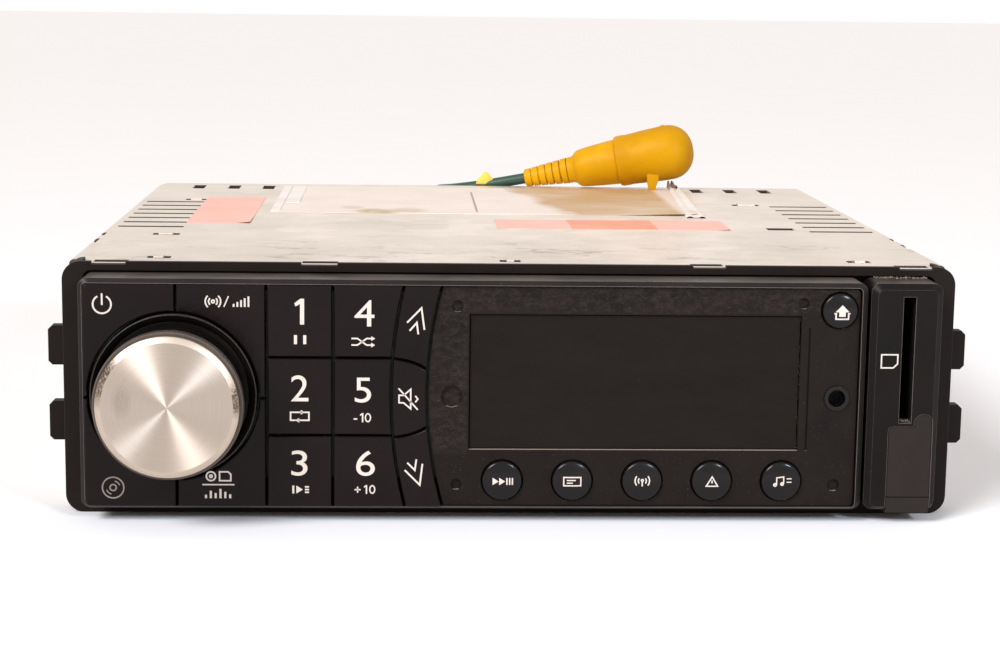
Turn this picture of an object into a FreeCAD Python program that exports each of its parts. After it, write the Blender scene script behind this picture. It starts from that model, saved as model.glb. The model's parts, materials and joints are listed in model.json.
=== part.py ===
import FreeCAD, Part
import math
import os

os.makedirs("parts", exist_ok=True)
V = FreeCAD.Vector

# Single-slot car CD player with a drop-down front panel.
# X runs to the right, Y to the rear and Z up, in millimetres.
# Everything is drawn from the dash plane, y = 0 at the front of the trim ring,
# and save() moves it so that the origin lies under the middle of the whole part.

# A cutting body runs this far past the face it cuts, a joined one this far into its neighbour,
# and edges this close to a plane lie in it
over = 1.0
bite = 0.5
touch = 0.0001

# Round bodies that bear on nothing are drawn with this many sides, the motors deep inside with
# the fewest and the knob's collar with the most
hidden_sides = 12
plain_sides = 20
collar_sides = 36

# Chassis behind the dash, one slot of 178 by 50
chassis_width = 178.0
chassis_height = 50.0
chassis_depth = 162.0
ring_overhang = 0.5
cover_sheet = 0.8
tray_sheet = 1.0
lap_gap = 0.1
side_flange_drop = 14.5
rear_flange_drop = 8.5
bend_radius = 1.0

# Trim ring of the front frame
ring_width = 179.0
ring_depth = 6.5
ring_corner = 3.7
ring_side_border = 4.0
ring_top_border = 1.8
ring_bottom_border = 2.7
ear_reach = 93.0
ear_front = 3.5
ear_back = 6.2
ear_height = 8.0
ear_centres = (18.1, 33.5)
ear_chamfer = 0.8
wall_front = 2.5
wall_sheet = 2.0
rim_depth = 5.5
rim_sheet = 1.6
seat_gap = 0.2

# Nose, the part of the front that stands before the ring
nose_reach = 9.0
nose_corner = 1.8
nose_bevel = 1.2
nose_bevel_depth = 0.9
nose_bottom_bevel = 0.65
nose_left = -85.2
panel_right = 70.0
panel_gap = 0.7
card_right = 85.0
nose_bottom = 2.95
nose_top_border = 2.2
bezel_wall = 1.2
bezel_lip = 1.2
bezel_back = 0.5
back_shell = 2.0

# Panel hinge, two lugs of the frame in notches at the panel's foot
hinge_y = -2.8
hinge_z = 5.3
hinge_xs = (-79.0, 63.0)
lug_radius = 1.8
lug_half_width = 1.5
lug_side_gap = 0.5
lug_room = 0.4
cheek_front = 1.6
cheek_top = 1.8
pin_radius = 1.0
pin_gap = 0.06
cheek = 2.0

# Board and switches in the panel
board_front = -3.6
board_sheet = 1.2
board_bottom = 8.2
board_top_drop = 2.8
board_inset = 1.0
switch_body = 3.2
switch_height = 1.5
post_half = 1.5
post_inset = 3.0
post_places = (-78.0, -30.0, 20.0, 55.2)

# Keys
key_gap = 0.5
key_depth = 3.0
key_bevel = 0.2
key_travel = 0.5
key_rest_gap = 0.1
stem_half = 1.0
field_left = -84.4
field_right = 69.2
field_end = 68.8
field_bottom = 3.35
field_top_drop = 0.95
field_corner = 0.9
field_gap = 0.12
column_1 = -48.65
column_2 = -35.63
row_1 = 33.35
row_2 = 17.8
knob_split_x = -66.3
knob_split_z = 25.2

# The third key column lies between two long arcs, and its rows are arcs too
arc_3_radius = 93.4
arc_3_left = -24.2
arc_4_radius = 82.5
arc_4_left = -17.1
arc_z = 26.3
row_arc_radius = 13.8
row_arc_x = -24.4
row_arc_rise = 5.9
row_arc_mid = 25.35

# Knob on its rotary encoder
knob_x = -66.8
knob_z = 25.6
knob_reach = 21.0
knob_radius = 14.5
knob_back = 8.8
knob_wall = 1.8
knob_web = 1.8
knob_travel = 0.8
face_radius = 13.75
face_flat_radius = 12.6
face_bevel = 0.5
face_height = 1.7
well_radius = 15.2
well_floor = 1.1
surround_radius = 16.3
surround_proud = 0.3
encoder_side = 12.0
encoder_depth = 2.8
bush_radius = 3.5
bush_reach = 3.4
rotor_radius = 2.6
shaft_radius = 1.5
shaft_flat = 1.0
shaft_run = 0.4
encoder_floor = 0.8
rotor_proud = 0.4
rotor_end_gap = 0.1
hub_gap = 0.2
hub_wall = 0.5
bush_room = 0.3
well_gap = 0.2
surround_wall = 1.2
run_gap = 0.05

# Display plate, its window and its round buttons
plate_recess = 1.0
plate_sheet = 1.6
plate_gap = 0.2
window_left = -8.8
window_right = 57.0
window_bottom = 14.9
window_top_drop = 6.7
glass_gap = 0.2
glass_recess = 0.6
glass_depth = 2.0
lcd_frame = 2.4
lcd_frame_depth = 1.8
lcd_foot_gap = 1.1
button_radius = 4.0
button_first_x = -2.05
button_pitch = 13.98
button_z = 8.7
button_proud = 1.3
button_gap = 0.25
button_tail = 0.6
eject_x = 64.5
eject_drop = 5.5
eject_radius = 3.55
jack_x = 64.5
jack_z = 25.6
jack_radius = 2.46
jack_bore = 1.75
jack_proud = 0.4
jack_side = 6.4
jack_bore_depth = 7.0
jack_floor = 0.5
low_pin_marks = ((-12.2, 25.6, 2.2), (-11.2, 7.8, 1.1), (64.5, 7.85, 1.25))
high_pin_marks = ((-11.2, 5.1, 1.2), (57.3, 4.2, 1.1))
pin_mark_depth = 0.7
pin_mark_sides = 12
step_line_x = 58.5
step_line_width = 0.35
step_line_depth = 0.3
step_line_drop = 2.4
skirt_end = 8.0
skirt_sheet = 1.0

# Card panel at the right with its card slot and covered socket
card_wall = 1.3
card_slot_left = 77.0
card_slot_right = 79.5
card_slot_bottom = 20.8
card_slot_drop = 2.6
reader_wall = 0.6
reader_depth = 27.0
flap_left = 75.0
flap_right = 83.9
flap_top = 20.0
flap_corner = 0.9
thumb_left = 80.2
thumb_top = 22.5
thumb_corner = 1.7
flap_sheet = 1.1
flap_fit = 0.12
flap_back_gap = 0.05
fold_z = 5.64
fold_gap = 0.1
root_bottom = 2.2
root_slope = 0.9
plug_length = 2.0
plug_side_gap = 0.3
plug_end_gap = 0.6
socket_x = 79.45
socket_z = 13.0
socket_width = 5.6
socket_height = 12.6
socket_wall = 0.35
socket_depth = 19.0
tongue_sheet = 1.8
window_margin = 1.0
backing_rim = 1.5
tongue_gap = 0.6
tongue_set_back = 1.0
socket_back_wall = 1.0

# Disc slot and deck
disc_z = 34.0
disc_sheet = 1.2
slot_half_width = 61.5
slot_height = 6.0
lip_sheet = 2.5
lip_depth = 5.5
lip_flare = 0.8
felt_gap = 1.6
felt_sheet = 1.0
felt_height = 3.6
deck_front = 12.0
deck_back = 149.0
deck_half_width = 67.0
deck_sheet = 1.0
deck_floor = 25.0
deck_wall_top = 38.4
ear_z = 27.0
ear_out = 84.0
damper_x = 79.0
damper_ys = (43.0, 134.0)
damper_radius = 4.5
damper_height = 5.0
ear_width = 10.0
lug_length = 12.0
lug_in = 72.5
lug_window = 5.0
guide_sheet = 1.5
guide_back = 64.0
guide_rib_front = 16.0
guide_rib_back = 28.0
guide_rib_in = 45.0
guide_rib_out = 62.0
guide_lift = 0.8
guide_notch_radius = 40.0
guide_rib_slope = 2.5
deck_windows = ((-52.0, -18.0, 58.0, 118.0), (26.0, 56.0, 74.0, 98.0))

# Loading roller and its gear pair
roller_y = 22.0
roller_radius = 3.5
roller_half_length = 62.0
roller_shaft_radius = 1.5
gear_module = 0.9
gear_teeth = 18
pinion_teeth = 8
gear_width = 2.0
gear_offset = 2.2
roller_shaft_end = 0.6
mesh_angle = -30.0
tooth_addendum = 0.8
tooth_dedendum = 1.15
tooth_fill = 0.40
tooth_tip_share = 0.55
tooth_root_share = 1.4
loading_motor_radius = 5.0
loading_motor_length = 14.0
motor_rim = 1.0
motor_shaft_radius = 0.75
motor_window_gap = 0.25

# Disc drive, clamp and pickup
disc_y = 86.0
disc_motor_radius = 11.0
platter_radius = 12.0
platter_sheet = 1.2
hub_radius = 7.4
hub_height = 1.0
puck_radius = 11.0
puck_sheet = 2.0
puck_lift = 4.4
puck_pin_radius = 2.0
puck_pin_gap = 0.06
puck_float = 0.2
puck_head_radius = 3.4
puck_head = 1.0
arm_float = 0.4
arm_half_width = 12.0
arm_tip = 10.0
arm_sheet = 1.0
arm_pivot_y = 140.0
arm_barrel_radius = 2.2
arm_barrel_half = 14.5
arm_lug_sheet = 2.0
arm_lug_reach = 3.0
arm_lug_drop = 4.0
arm_side_gap = 0.5
arm_shoulder = 12.0
arm_slot_half = 5.0
arm_slot_front = 16.0
arm_slot_back = 10.0
sled_left = 29.0
sled_width = 20.0
sled_front = 62.0
sled_back = 109.0
sled_bottom = 27.0
sled_top = 32.0
rod_radius = 1.5
rod_y_place = 105.0
screw_y = 66.0
rod_z_place = 29.4
rod_lug_x = 10.0
rod_lug_end = 12.0
lens_radius = 2.5
lens_height = 0.8
sled_motor_length = 16.0
lens_set_back = 8.0
rod_boss = 4.5
sled_relief = 2.0

# Main board and what stands on it
main_board_z = 6.0
main_board_sheet = 1.6
main_board_half = 84.0
main_board_front = 16.0
main_board_back = 163.0
standoff_side = 5.0
standoff_inset = 8.0
amp_width = 30.0
amp_depth = 5.0
amp_height = 16.0
amp_foot = 9.1
amp_leg_inset = 1.0
can_radius = 5.0
can_height = 16.0
can_places = ((-50.0, 140.0), (36.0, 140.0))
tuner_box = (-60.0, -30.0, 96.0, 116.0)
tuner_height = 9.0
chip_boxes = ((-12.0, 8.0, 60.0, 80.0), (30.0, 44.0, 84.0, 98.0))
chip_height = 1.6

# Stamped field in the tray floor, the face that the part rests on
field_half_width = 76.0
field_front = 24.0
field_back = 150.0
field_lap = 1.5
mount_hole_radius = 2.5
mount_hole_spacing = 80.0
mount_hole_first_y = 64.0
mount_hole_z = 20.0

# Rear panel
stud_x = -2.0
stud_drop = 7.0
stud_radius = 2.5
stud_length = 12.0
stud_nut = 5.0
stud_nut_height = 3.0
sink_left = 44.0
sink_right = 86.0
sink_bottom = 8.0
sink_top = 40.0
sink_base = 3.0
sink_reach = 13.0
fin_count = 10
fin_sheet = 1.4
plug_left = -24.0
plug_right = 28.0
plug_height = 18.0
plug_inside = 14.0
plug_outside = 1.6
plug_wall = 1.6
plug_recess = 11.0
blade_columns = 4
blade_width = 2.0
blade_sheet = 0.8
blade_reach = 4.0
aerial_x = -72.0
aerial_side = 14.0
aerial_radius = 5.5
aerial_bore = 3.2
aerial_out = 5.0
aerial_bore_depth = 14.0
gland_x = -36.0
gland_z = 24.0
gland_radius = 5.5
gland_neck = 6.4
gland_flange = 1.6
gland_reach = 8.0
gland_sleeve = 2.9

# Line socket on the green cable, lying on the cover's rear edge
cable_radius = 1.5
cable_sides = 8
bend_share = 0.45
tail_point = (12.0, 170.2, 52.6)
plug_axis = (0.966, -0.163, 0.200)
relief_length = 14.5
relief_radius = 2.6
swell_length = 7.0
shell_length = 27.0
shell_radius = 6.3
cap_length = 47.6
cap_radius = 7.5
cap_round = 3.0
tab_x = 46.4
tab_y = 158.8
tab_width = 5.0
tab_foot = 1.8
tab_foot_height = 2.2
tab_sheet = 1.4

# Points of the cable's route from the gland to the socket's tail
cable_route = (
    (-36.0, 190.0, 24.0),
    (-37.0, 207.0, 20.5),
    (-31.0, 224.0, 22.5),
    (-17.0, 230.0, 33.0),
    (-10.5, 214.0, 42.5),
    (-12.5, 195.0, 46.8),
    (-8.2, 176.8, 48.7),
    (1.95, 171.9, 50.52),
)

# Vents and openings of the cover
vent_count = 7
vent_first_y = 64.4
vent_pitch = 9.1
vent_in = 72.0
vent_out = 86.8
vent_width = 2.2
rear_hole_xs = (58.5, 67.8, 77.3)
rear_hole_front = 154.0
rear_hole_length = 9.0
rear_hole_width = 3.2
open_slot = (62.8, 69.2, 66.9, 71.0)

# A lance is a short bridge raised from the sheet between two small openings
lances = (
    (-77.3, -71.4, 50.2),
    (-77.6, -72.0, 125.0),
    (62.8, 69.9, 122.3),
    (-73.9, -69.1, 10.8),
    (-2.3, 2.0, 8.6),
    (69.6, 74.5, 11.3),
)
lance_end = 1.4
lance_width = 3.0
lance_rise = 0.35

# The lid's tongue lies on the ring behind its lip, with a window at each notch in the lip
tab_ranges = ((-83.7, -76.9), (-42.2, -35.0), (36.2, 42.8), (78.0, 84.8))
tongue_front = 1.2
tongue_half = 85.6
tab_strip = 1.5
tab_window = 3.4
tab_notch_drop = 0.1

# Notches in the lid's side edges and its cut corner
edge_notches = ((34.0, 41.0), (47.0, 52.0))
edge_notch_depth = 6.0
edge_notch_width = 0.6
cover_corner_room = 5.0
corner_cut_x = 2.0
corner_cut_y = 9.0

# Places that follow from the sizes above
ring_top = chassis_height + 2.0 * ring_overhang
nose_top = ring_top - nose_top_border
field_top = nose_top - field_top_drop
board_top = nose_top - board_top_drop
window_top = nose_top - window_top_drop
step_line_top = window_top - step_line_drop
eject_z = nose_top - eject_drop
card_slot_top = nose_top - card_slot_drop
arc_3_x = arc_3_left + arc_3_radius
arc_4_x = arc_4_left + arc_4_radius
cover_top = ring_overhang + chassis_height
stud_z = cover_top - rear_flange_drop - stud_drop
cover_under = cover_top - cover_sheet
cover_front = ring_depth + lap_gap
cover_back = ring_depth + chassis_depth
rear_face = cover_back - cover_sheet - lap_gap
tray_half = chassis_width / 2.0 - cover_sheet - lap_gap
tray_in = tray_half - tray_sheet
floor_low = ring_overhang
floor_top = floor_low + tray_sheet
wall_back = wall_front + wall_sheet
card_left = panel_right + panel_gap
lip_end = wall_front + lip_depth
slot_low = disc_z - slot_height / 2.0
slot_high = disc_z + slot_height / 2.0
panel_back_face = -bezel_back + back_shell
key_face = -nose_reach
plate_face = key_face + plate_recess
plate_back = plate_face + plate_sheet
bush_front = board_front - encoder_depth - bush_reach
rotor_end = board_front - encoder_floor - rotor_end_gap
switch_face = board_front - switch_height
stem_end = switch_face - key_travel - key_rest_gap
board_back = board_front + board_sheet
roller_z = disc_z - disc_sheet / 2.0 - roller_radius
gear_radius = gear_module * gear_teeth / 2.0
pinion_radius = gear_module * pinion_teeth / 2.0
mesh_distance = gear_radius + pinion_radius
pinion_y = roller_y + mesh_distance * math.cos(math.radians(mesh_angle))
pinion_z = roller_z + mesh_distance * math.sin(math.radians(mesh_angle))
gear_left = -deck_half_width - gear_offset - gear_width
platter_top = disc_z - disc_sheet / 2.0
hub_top = platter_top + hub_height
puck_bottom = hub_top + puck_lift
arm_bottom = puck_bottom + puck_sheet + arm_float
arm_pivot_z = arm_bottom + arm_sheet / 2.0
deck_plate_top = deck_floor + deck_sheet
board_upper = main_board_z + main_board_sheet
lug_top = ear_z - damper_height
nose_front_y = -knob_reach
rear_reach = rear_face + sink_reach
origin_y = (nose_front_y + rear_reach) / 2.0


def save(name, shape):
    """Write one node, moved from the dash plane to the part's own origin."""
    placed = shape.copy()
    placed.translate(V(0, -origin_y, 0))
    placed.exportStep("parts/" + name + ".step")


def box(x0, x1, y0, y1, z0, z1):
    return Part.makeBox(x1 - x0, y1 - y0, z1 - z0, V(x0, y0, z0))


def rod_x(x0, x1, y, z, radius):
    return Part.makeCylinder(radius, x1 - x0, V(x0, y, z), V(1, 0, 0))


def rod_y(y0, y1, x, z, radius):
    return Part.makeCylinder(radius, y1 - y0, V(x, y0, z), V(0, 1, 0))


def rod_z(z0, z1, x, y, radius):
    return Part.makeCylinder(radius, z1 - z0, V(x, y, z0), V(0, 0, 1))


def prism(start, reach, radius, sides):
    """A regular prism from its first end's centre, along one of the three axes."""
    base = V(*start)
    along = V(*reach)
    across = V(0, 1, 0) if along.x else V(1, 0, 0)
    up = V(0, 1, 0) if along.z else V(0, 0, 1)
    points = []
    for corner in range(sides):
        angle = 2.0 * math.pi * corner / sides
        points.append(base + across * (radius * math.cos(angle)) + up * (radius * math.sin(angle)))
    return polygon_solid(points, reach)


def join(shapes):
    whole = shapes[0]
    for shape in shapes[1:]:
        whole = whole.fuse(shape)
    return whole.removeSplitter()


def group(shapes):
    """Separate solids that share one node."""
    return Part.makeCompound(shapes)


def polygon_solid(points, direction):
    """A flat polygon pushed along a direction."""
    closed = [V(*point) for point in points]
    closed.append(closed[0])
    return Part.Face(Part.makePolygon(closed)).extrude(V(*direction))


def rounded_wire(x0, x1, z0, z1, radius, y):
    """A rectangle with round corners in the plane at y."""
    centres = (
        (x1 - radius, z1 - radius, 0.0),
        (x0 + radius, z1 - radius, 90.0),
        (x0 + radius, z0 + radius, 180.0),
        (x1 - radius, z0 + radius, 270.0),
    )
    arcs = []
    for cx, cz, start in centres:
        points = []
        for turn in (start, start + 45.0, start + 90.0):
            angle = math.radians(turn)
            points.append(V(cx + radius * math.cos(angle), y, cz + radius * math.sin(angle)))
        arcs.append(points)
    edges = []
    for index, points in enumerate(arcs):
        edges.append(Part.Arc(*points).toShape())
        following = arcs[(index + 1) % 4]
        edges.append(Part.LineSegment(points[2], following[0]).toShape())
    return Part.Wire(edges)


def rounded_slab(x0, x1, z0, z1, radius, y0, y1):
    face = Part.Face(rounded_wire(x0, x1, z0, z1, radius, y0))
    return face.extrude(V(0, y1 - y0, 0))


def many_sided(profile, start, axis, sides):
    """A body of flat sides about a line, through its (radius, distance) pairs from end to end."""
    along = V(*axis).normalize()
    side = along.cross(V(0, 0, 1)).normalize()
    up = side.cross(along)
    rings = []
    for radius, step in profile:
        centre = V(*start) + along * step
        ring = []
        for corner in range(sides):
            angle = 2.0 * math.pi * corner / sides
            ring.append(centre + side * (radius * math.cos(angle)) + up * (radius * math.sin(angle)))
        rings.append(ring)
    faces = []
    for ring in (rings[0], rings[-1]):
        faces.append(Part.Face(Part.makePolygon(ring + ring[:1])))
    for near, far in zip(rings, rings[1:]):
        for corner in range(sides):
            after = (corner + 1) % sides
            outline = [near[corner], near[after], far[after], far[corner], near[corner]]
            faces.append(Part.Face(Part.makePolygon(outline)))
    return Part.makeSolid(Part.makeShell(faces))


def front_edges(solid, y):
    """The edges that lie in the plane at y."""
    found = []
    for edge in solid.Edges:
        bounds = edge.BoundBox
        if abs(bounds.YMin - y) < touch and abs(bounds.YMax - y) < touch:
            found.append(edge)
    return found


def nose_solid(x0, x1, y_back):
    """The outer form of the nose between two sides, its front edges bevelled."""
    bottom_inset = nose_bottom_bevel
    shoulder = key_face + nose_bevel_depth
    outer = rounded_wire(x0, x1, nose_bottom, nose_top, nose_corner, shoulder)
    inner = rounded_wire(
        x0 + nose_bevel,
        x1 - nose_bevel,
        nose_bottom + bottom_inset,
        nose_top - nose_bevel,
        nose_corner - nose_bevel + bottom_inset,
        key_face,
    )
    bevel = Part.makeLoft([inner, outer], True, True)
    body = rounded_slab(x0, x1, nose_bottom, nose_top, nose_corner, shoulder, y_back)
    return join([body, bevel])


def hinge_notch(x):
    """Room in the panel's foot for one lug of the frame."""
    half = lug_half_width + lug_side_gap
    reach = lug_radius + lug_room
    return box(
        x - half,
        x + half,
        hinge_y - reach,
        wall_front,
        nose_bottom - over,
        hinge_z + reach,
    )


def chassis_tray():
    """Folded tray with side walls, rear panel and a stamped field in its floor."""
    height = cover_under - lap_gap
    outside = box(-tray_half, tray_half, cover_front, rear_face, floor_low, height)
    inside = box(-tray_in, tray_in, 0.0, rear_face - tray_sheet, floor_top, height + over)
    tray = outside.cut(inside)
    opening = box(
        -field_half_width + field_lap,
        field_half_width - field_lap,
        field_front + field_lap,
        field_back - field_lap,
        -over,
        floor_top + over,
    )
    tray = tray.cut(opening)
    pressed = box(-field_half_width, field_half_width, field_front, field_back, 0.0, tray_sheet)
    pieces = [tray, pressed]
    half = standoff_side / 2.0
    for x in (-field_half_width + standoff_inset, field_half_width - standoff_inset):
        for y in (field_front + standoff_inset, field_back - standoff_inset):
            pieces.append(box(x - half, x + half, y - half, y + half, tray_sheet / 2.0, main_board_z))
    half = lug_length / 2.0
    for side in (-1.0, 1.0):
        for y in damper_ys:
            near, far = sorted((side * lug_in, side * (tray_in + tray_sheet / 2.0)))
            pieces.append(box(near, far, y - half, y + half, lug_top - tray_sheet, lug_top))
    return join(pieces).cut(Part.makeCompound(side_openings() + rear_openings()))


def side_openings():
    """Fixing holes in the side walls and the windows that the damper lugs leave."""
    cuts = []
    half = lug_length / 2.0
    for side in (-1.0, 1.0):
        near, far = sorted((side * (tray_half + over), side * (tray_in - over)))
        for y in (mount_hole_first_y, mount_hole_first_y + mount_hole_spacing):
            cuts.append(rod_x(near, far, y, mount_hole_z, mount_hole_radius))
        near, far = sorted((side * (tray_half + over), side * (tray_in - touch)))
        for y in damper_ys:
            cuts.append(box(near, far, y - half, y + half, lug_top, lug_top + lug_window))
    return cuts


def rear_openings():
    """Openings of the rear panel, each as large as what it holds and a gap."""
    gap = lap_gap
    low = rear_face - tray_sheet - over
    high = rear_face + over
    half = gland_neck / 2.0 + gap
    aerial_z = board_upper + aerial_side / 2.0
    plug_top = board_upper + plug_height
    amp_left, amp_right = amp_sides()
    return [
        box(gland_x - half, gland_x + half, low, high, gland_z - half, gland_z + half),
        rod_y(low, high, stud_x, stud_z, stud_radius + gap),
        rod_y(low, high, aerial_x, aerial_z, aerial_radius + gap),
        box(plug_left - gap, plug_right + gap, low, high, board_upper - gap, plug_top + gap),
        box(amp_left - gap, amp_right + gap, low, high, amp_foot - gap, board_upper + amp_height + gap),
    ]


def amp_sides():
    middle = (sink_left + sink_right) / 2.0
    return middle - amp_width / 2.0, middle + amp_width / 2.0


def top_cover():
    """Folded sheet lid with vents, lances, three flanges and a tongue over the ring."""
    half = chassis_width / 2.0
    inner_half = half - cover_sheet
    low = cover_top - side_flange_drop
    below = low - cover_corner_room
    outer = rounded_slab(-half, half, below, cover_top, bend_radius, cover_front, cover_back)
    outer = outer.cut(box(-half - over, half + over, 0.0, cover_back + over, below - over, low))
    room = box(-inner_half, inner_half, 0.0, cover_back - cover_sheet, low - over, cover_under)
    cover = outer.cut(room)
    rear_low = cover_top - rear_flange_drop
    cuts = [
        box(-half - over, half + over, rear_face, cover_back + over, low - over, rear_low),
        corner_cut(half, low),
    ]
    for x0, x1, y0, y1 in cover_slots():
        cuts.append(box(x0, x1, y0, y1, cover_under - over, cover_top + over))
    for y0, y1 in edge_notches:
        for side in (-1.0, 1.0):
            near, far = sorted((side * (half + over), side * (inner_half - edge_notch_width)))
            cuts.append(box(near, far, y0, y1, cover_top - edge_notch_depth, cover_top + over))
    cover = cover.cut(Part.makeCompound(cuts))
    tongue = box(-tongue_half, tongue_half, tongue_front, cover_front + bite, cover_under, cover_top)
    start = tongue_front + tab_strip
    windows = [
        box(x0, x1, start, start + tab_window, cover_under - over, cover_top + over) for x0, x1 in tab_ranges
    ]
    return join([cover, tongue] + lance_bridges()).cut(Part.makeCompound(windows))


def lance_bridges():
    """Short strips of the sheet raised between each lance's two openings."""
    half = lance_width / 2.0
    bridges = []
    for x0, x1, y in lances:
        left = x0 + lance_end
        right = x1 - lance_end
        bridges.append(box(left, right, y - half, y + half, cover_top - bite, cover_top + lance_rise))
    return bridges


def corner_cut(half, low):
    """The lid's rear left corner, cut off at a slant."""
    front = cover_back - corner_cut_y
    outline = (
        (-half - over, front, low - over),
        (-half, front, low - over),
        (-half + corner_cut_x, cover_back, low - over),
        (-half + corner_cut_x, cover_back + over, low - over),
        (-half - over, cover_back + over, low - over),
    )
    return polygon_solid(outline, (0, 0, side_flange_drop + 2.0 * over))


def cover_slots():
    """Every straight opening in the lid's top as x and y ranges."""
    slots = [open_slot]
    for side in (-1.0, 1.0):
        for index in range(vent_count):
            y = vent_first_y + index * vent_pitch
            near, far = sorted((side * vent_in, side * vent_out))
            slots.append((near, far, y - vent_width / 2.0, y + vent_width / 2.0))
        for x in rear_hole_xs:
            left = side * x - rear_hole_width / 2.0
            slots.append((left, left + rear_hole_width, rear_hole_front, rear_hole_front + rear_hole_length))
    for x0, x1, y in lances:
        for left in (x0, x1 - lance_end):
            slots.append((left, left + lance_end, y - lance_width / 2.0, y + lance_width / 2.0))
    return slots


def rear_stud():
    """Stud that a support strap bolts to, its hexagon against the rear panel."""
    shank = rod_y(rear_face - tray_sheet, rear_face + stud_length, stud_x, stud_z, stud_radius)
    return join([shank, prism((stud_x, rear_face, stud_z), (0, stud_nut_height, 0), stud_nut, 6)])


def heat_sink():
    """Extruded comb of fins on a base, bolted over the amplifier window."""
    pitch = (sink_right - sink_left - fin_sheet) / (fin_count - 1)
    base_back = rear_face + sink_base
    tip = rear_face + sink_reach
    points = [(sink_left, rear_face, sink_bottom)]
    for index in range(fin_count):
        left = sink_left + index * pitch
        right = left + fin_sheet
        if index:
            points.append((left, base_back, sink_bottom))
        points.append((left, tip, sink_bottom))
        points.append((right, tip, sink_bottom))
        if index < fin_count - 1:
            points.append((right, base_back, sink_bottom))
    points.append((sink_right, rear_face, sink_bottom))
    return polygon_solid(points, (0, 0, sink_top - sink_bottom))


def frame_window():
    """Opening in the frame wall behind the card panel."""
    return box(
        card_slot_left - reader_wall - window_margin,
        flap_right,
        0.0,
        ring_depth + rim_depth + over,
        socket_z - socket_height / 2.0 - window_margin,
        card_slot_top + reader_wall + window_margin,
    )


def front_frame():
    """Trim ring, wall with the disc slot, plug-in rim, side ears and hinge lugs."""
    half = ring_width / 2.0
    inner_half = half - ring_side_border
    inner_top = ring_top - ring_top_border
    ring = rounded_slab(-half, half, 0.0, ring_top, ring_corner, 0.0, ring_depth)
    hollow = rounded_slab(
        -inner_half, inner_half, ring_bottom_border, inner_top, nose_corner, -over, ring_depth + over
    )
    ring = ring.cut(hollow)
    wall = box(
        -inner_half - bite,
        inner_half + bite,
        wall_front,
        wall_back,
        ring_bottom_border - bite,
        inner_top + bite,
    )
    lip_low = slot_low - lip_sheet
    lip_high = slot_high + lip_sheet
    lip_half = slot_half_width + lip_sheet
    lips = box(-lip_half, lip_half, wall_front, lip_end, lip_low, lip_high)
    frame = join([ring, wall, frame_rim(), lips] + side_ears() + hinge_lugs())
    cuts = [disc_slot(), frame_window()]
    for x in hinge_xs:
        reach = lug_half_width + over
        cuts.append(rod_x(x - reach, x + reach, hinge_y, hinge_z, pin_radius + pin_gap))
    front = tongue_front - lap_gap
    low = cover_under - lap_gap
    reach = tongue_half + lap_gap
    cuts.append(box(-reach, reach, front, ring_depth + over, low, ring_top + over))
    notch = cover_top - tab_notch_drop
    for x0, x1 in tab_ranges:
        cuts.append(box(x0, x1, -over, front + over, notch, ring_top + over))
    return frame.cut(Part.makeCompound(cuts))


def frame_rim():
    """Four walls behind the ring that plug into the chassis."""
    half = tray_in - seat_gap
    low = floor_top + seat_gap
    high = cover_under - seat_gap
    end = ring_depth + rim_depth
    room = box(
        -half + rim_sheet, half - rim_sheet, wall_back, end + over, low + rim_sheet, high - rim_sheet
    )
    return box(-half, half, wall_front, end, low, high).cut(room)


def side_ears():
    """Two flat ears at each side of the ring, their corners cut off."""
    ears = []
    inside = ring_width / 2.0 - ring_side_border / 2.0
    for centre in ear_centres:
        low = centre - ear_height / 2.0
        high = centre + ear_height / 2.0
        for side in (-1.0, 1.0):
            outline = (
                (side * inside, ear_front, low),
                (side * (ear_reach - ear_chamfer), ear_front, low),
                (side * ear_reach, ear_front, low + ear_chamfer),
                (side * ear_reach, ear_front, high - ear_chamfer),
                (side * (ear_reach - ear_chamfer), ear_front, high),
                (side * inside, ear_front, high),
            )
            ears.append(polygon_solid(outline, (0, ear_back - ear_front, 0)))
    return ears


def hinge_lugs():
    """Round-nosed lugs at the foot of the frame that carry the panel's pins."""
    lugs = []
    for x in hinge_xs:
        left = x - lug_half_width
        right = x + lug_half_width
        low = hinge_z - lug_radius
        high = hinge_z + lug_radius
        lugs.append(rod_x(left, right, hinge_y, hinge_z, lug_radius))
        lugs.append(box(left, right, hinge_y, wall_front + bite, low, high))
    return lugs


def disc_slot():
    """The slot through wall and lips, with a small flare at its mouth."""
    mouth = wall_front - touch
    slot = box(-slot_half_width, slot_half_width, 0.0, lip_end + over, slot_low, slot_high)
    flare = polygon_solid(
        (
            (-slot_half_width, mouth, slot_low - lip_flare),
            (-slot_half_width, mouth, slot_high + lip_flare),
            (-slot_half_width, wall_front + lip_flare, slot_high),
            (-slot_half_width, wall_front + lip_flare, slot_low),
        ),
        (2.0 * slot_half_width, 0, 0),
    )
    return slot.fuse(flare)


def slot_felts():
    """Two felt strips that close the slot to little more than a disc's thickness."""
    strips = []
    for side in (-1.0, 1.0):
        near = disc_z + side * felt_gap / 2.0
        low, high = sorted((near, near + side * felt_height))
        strips.append(box(-slot_half_width, slot_half_width, lip_end, lip_end + felt_sheet, low, high))
    return group(strips)


def flap_outline(inset, y0, y1, bottom):
    """The rubber flap's outline, a plate with a thumb tab at its upper right."""
    plate = rounded_slab(
        flap_left + inset,
        flap_right - inset,
        bottom,
        flap_top - inset,
        flap_corner,
        y0,
        y1,
    )
    thumb = rounded_slab(
        thumb_left + inset,
        flap_right - inset,
        socket_z,
        thumb_top - inset,
        thumb_corner - inset,
        y0,
        y1,
    )
    return join([plate, thumb])


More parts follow.
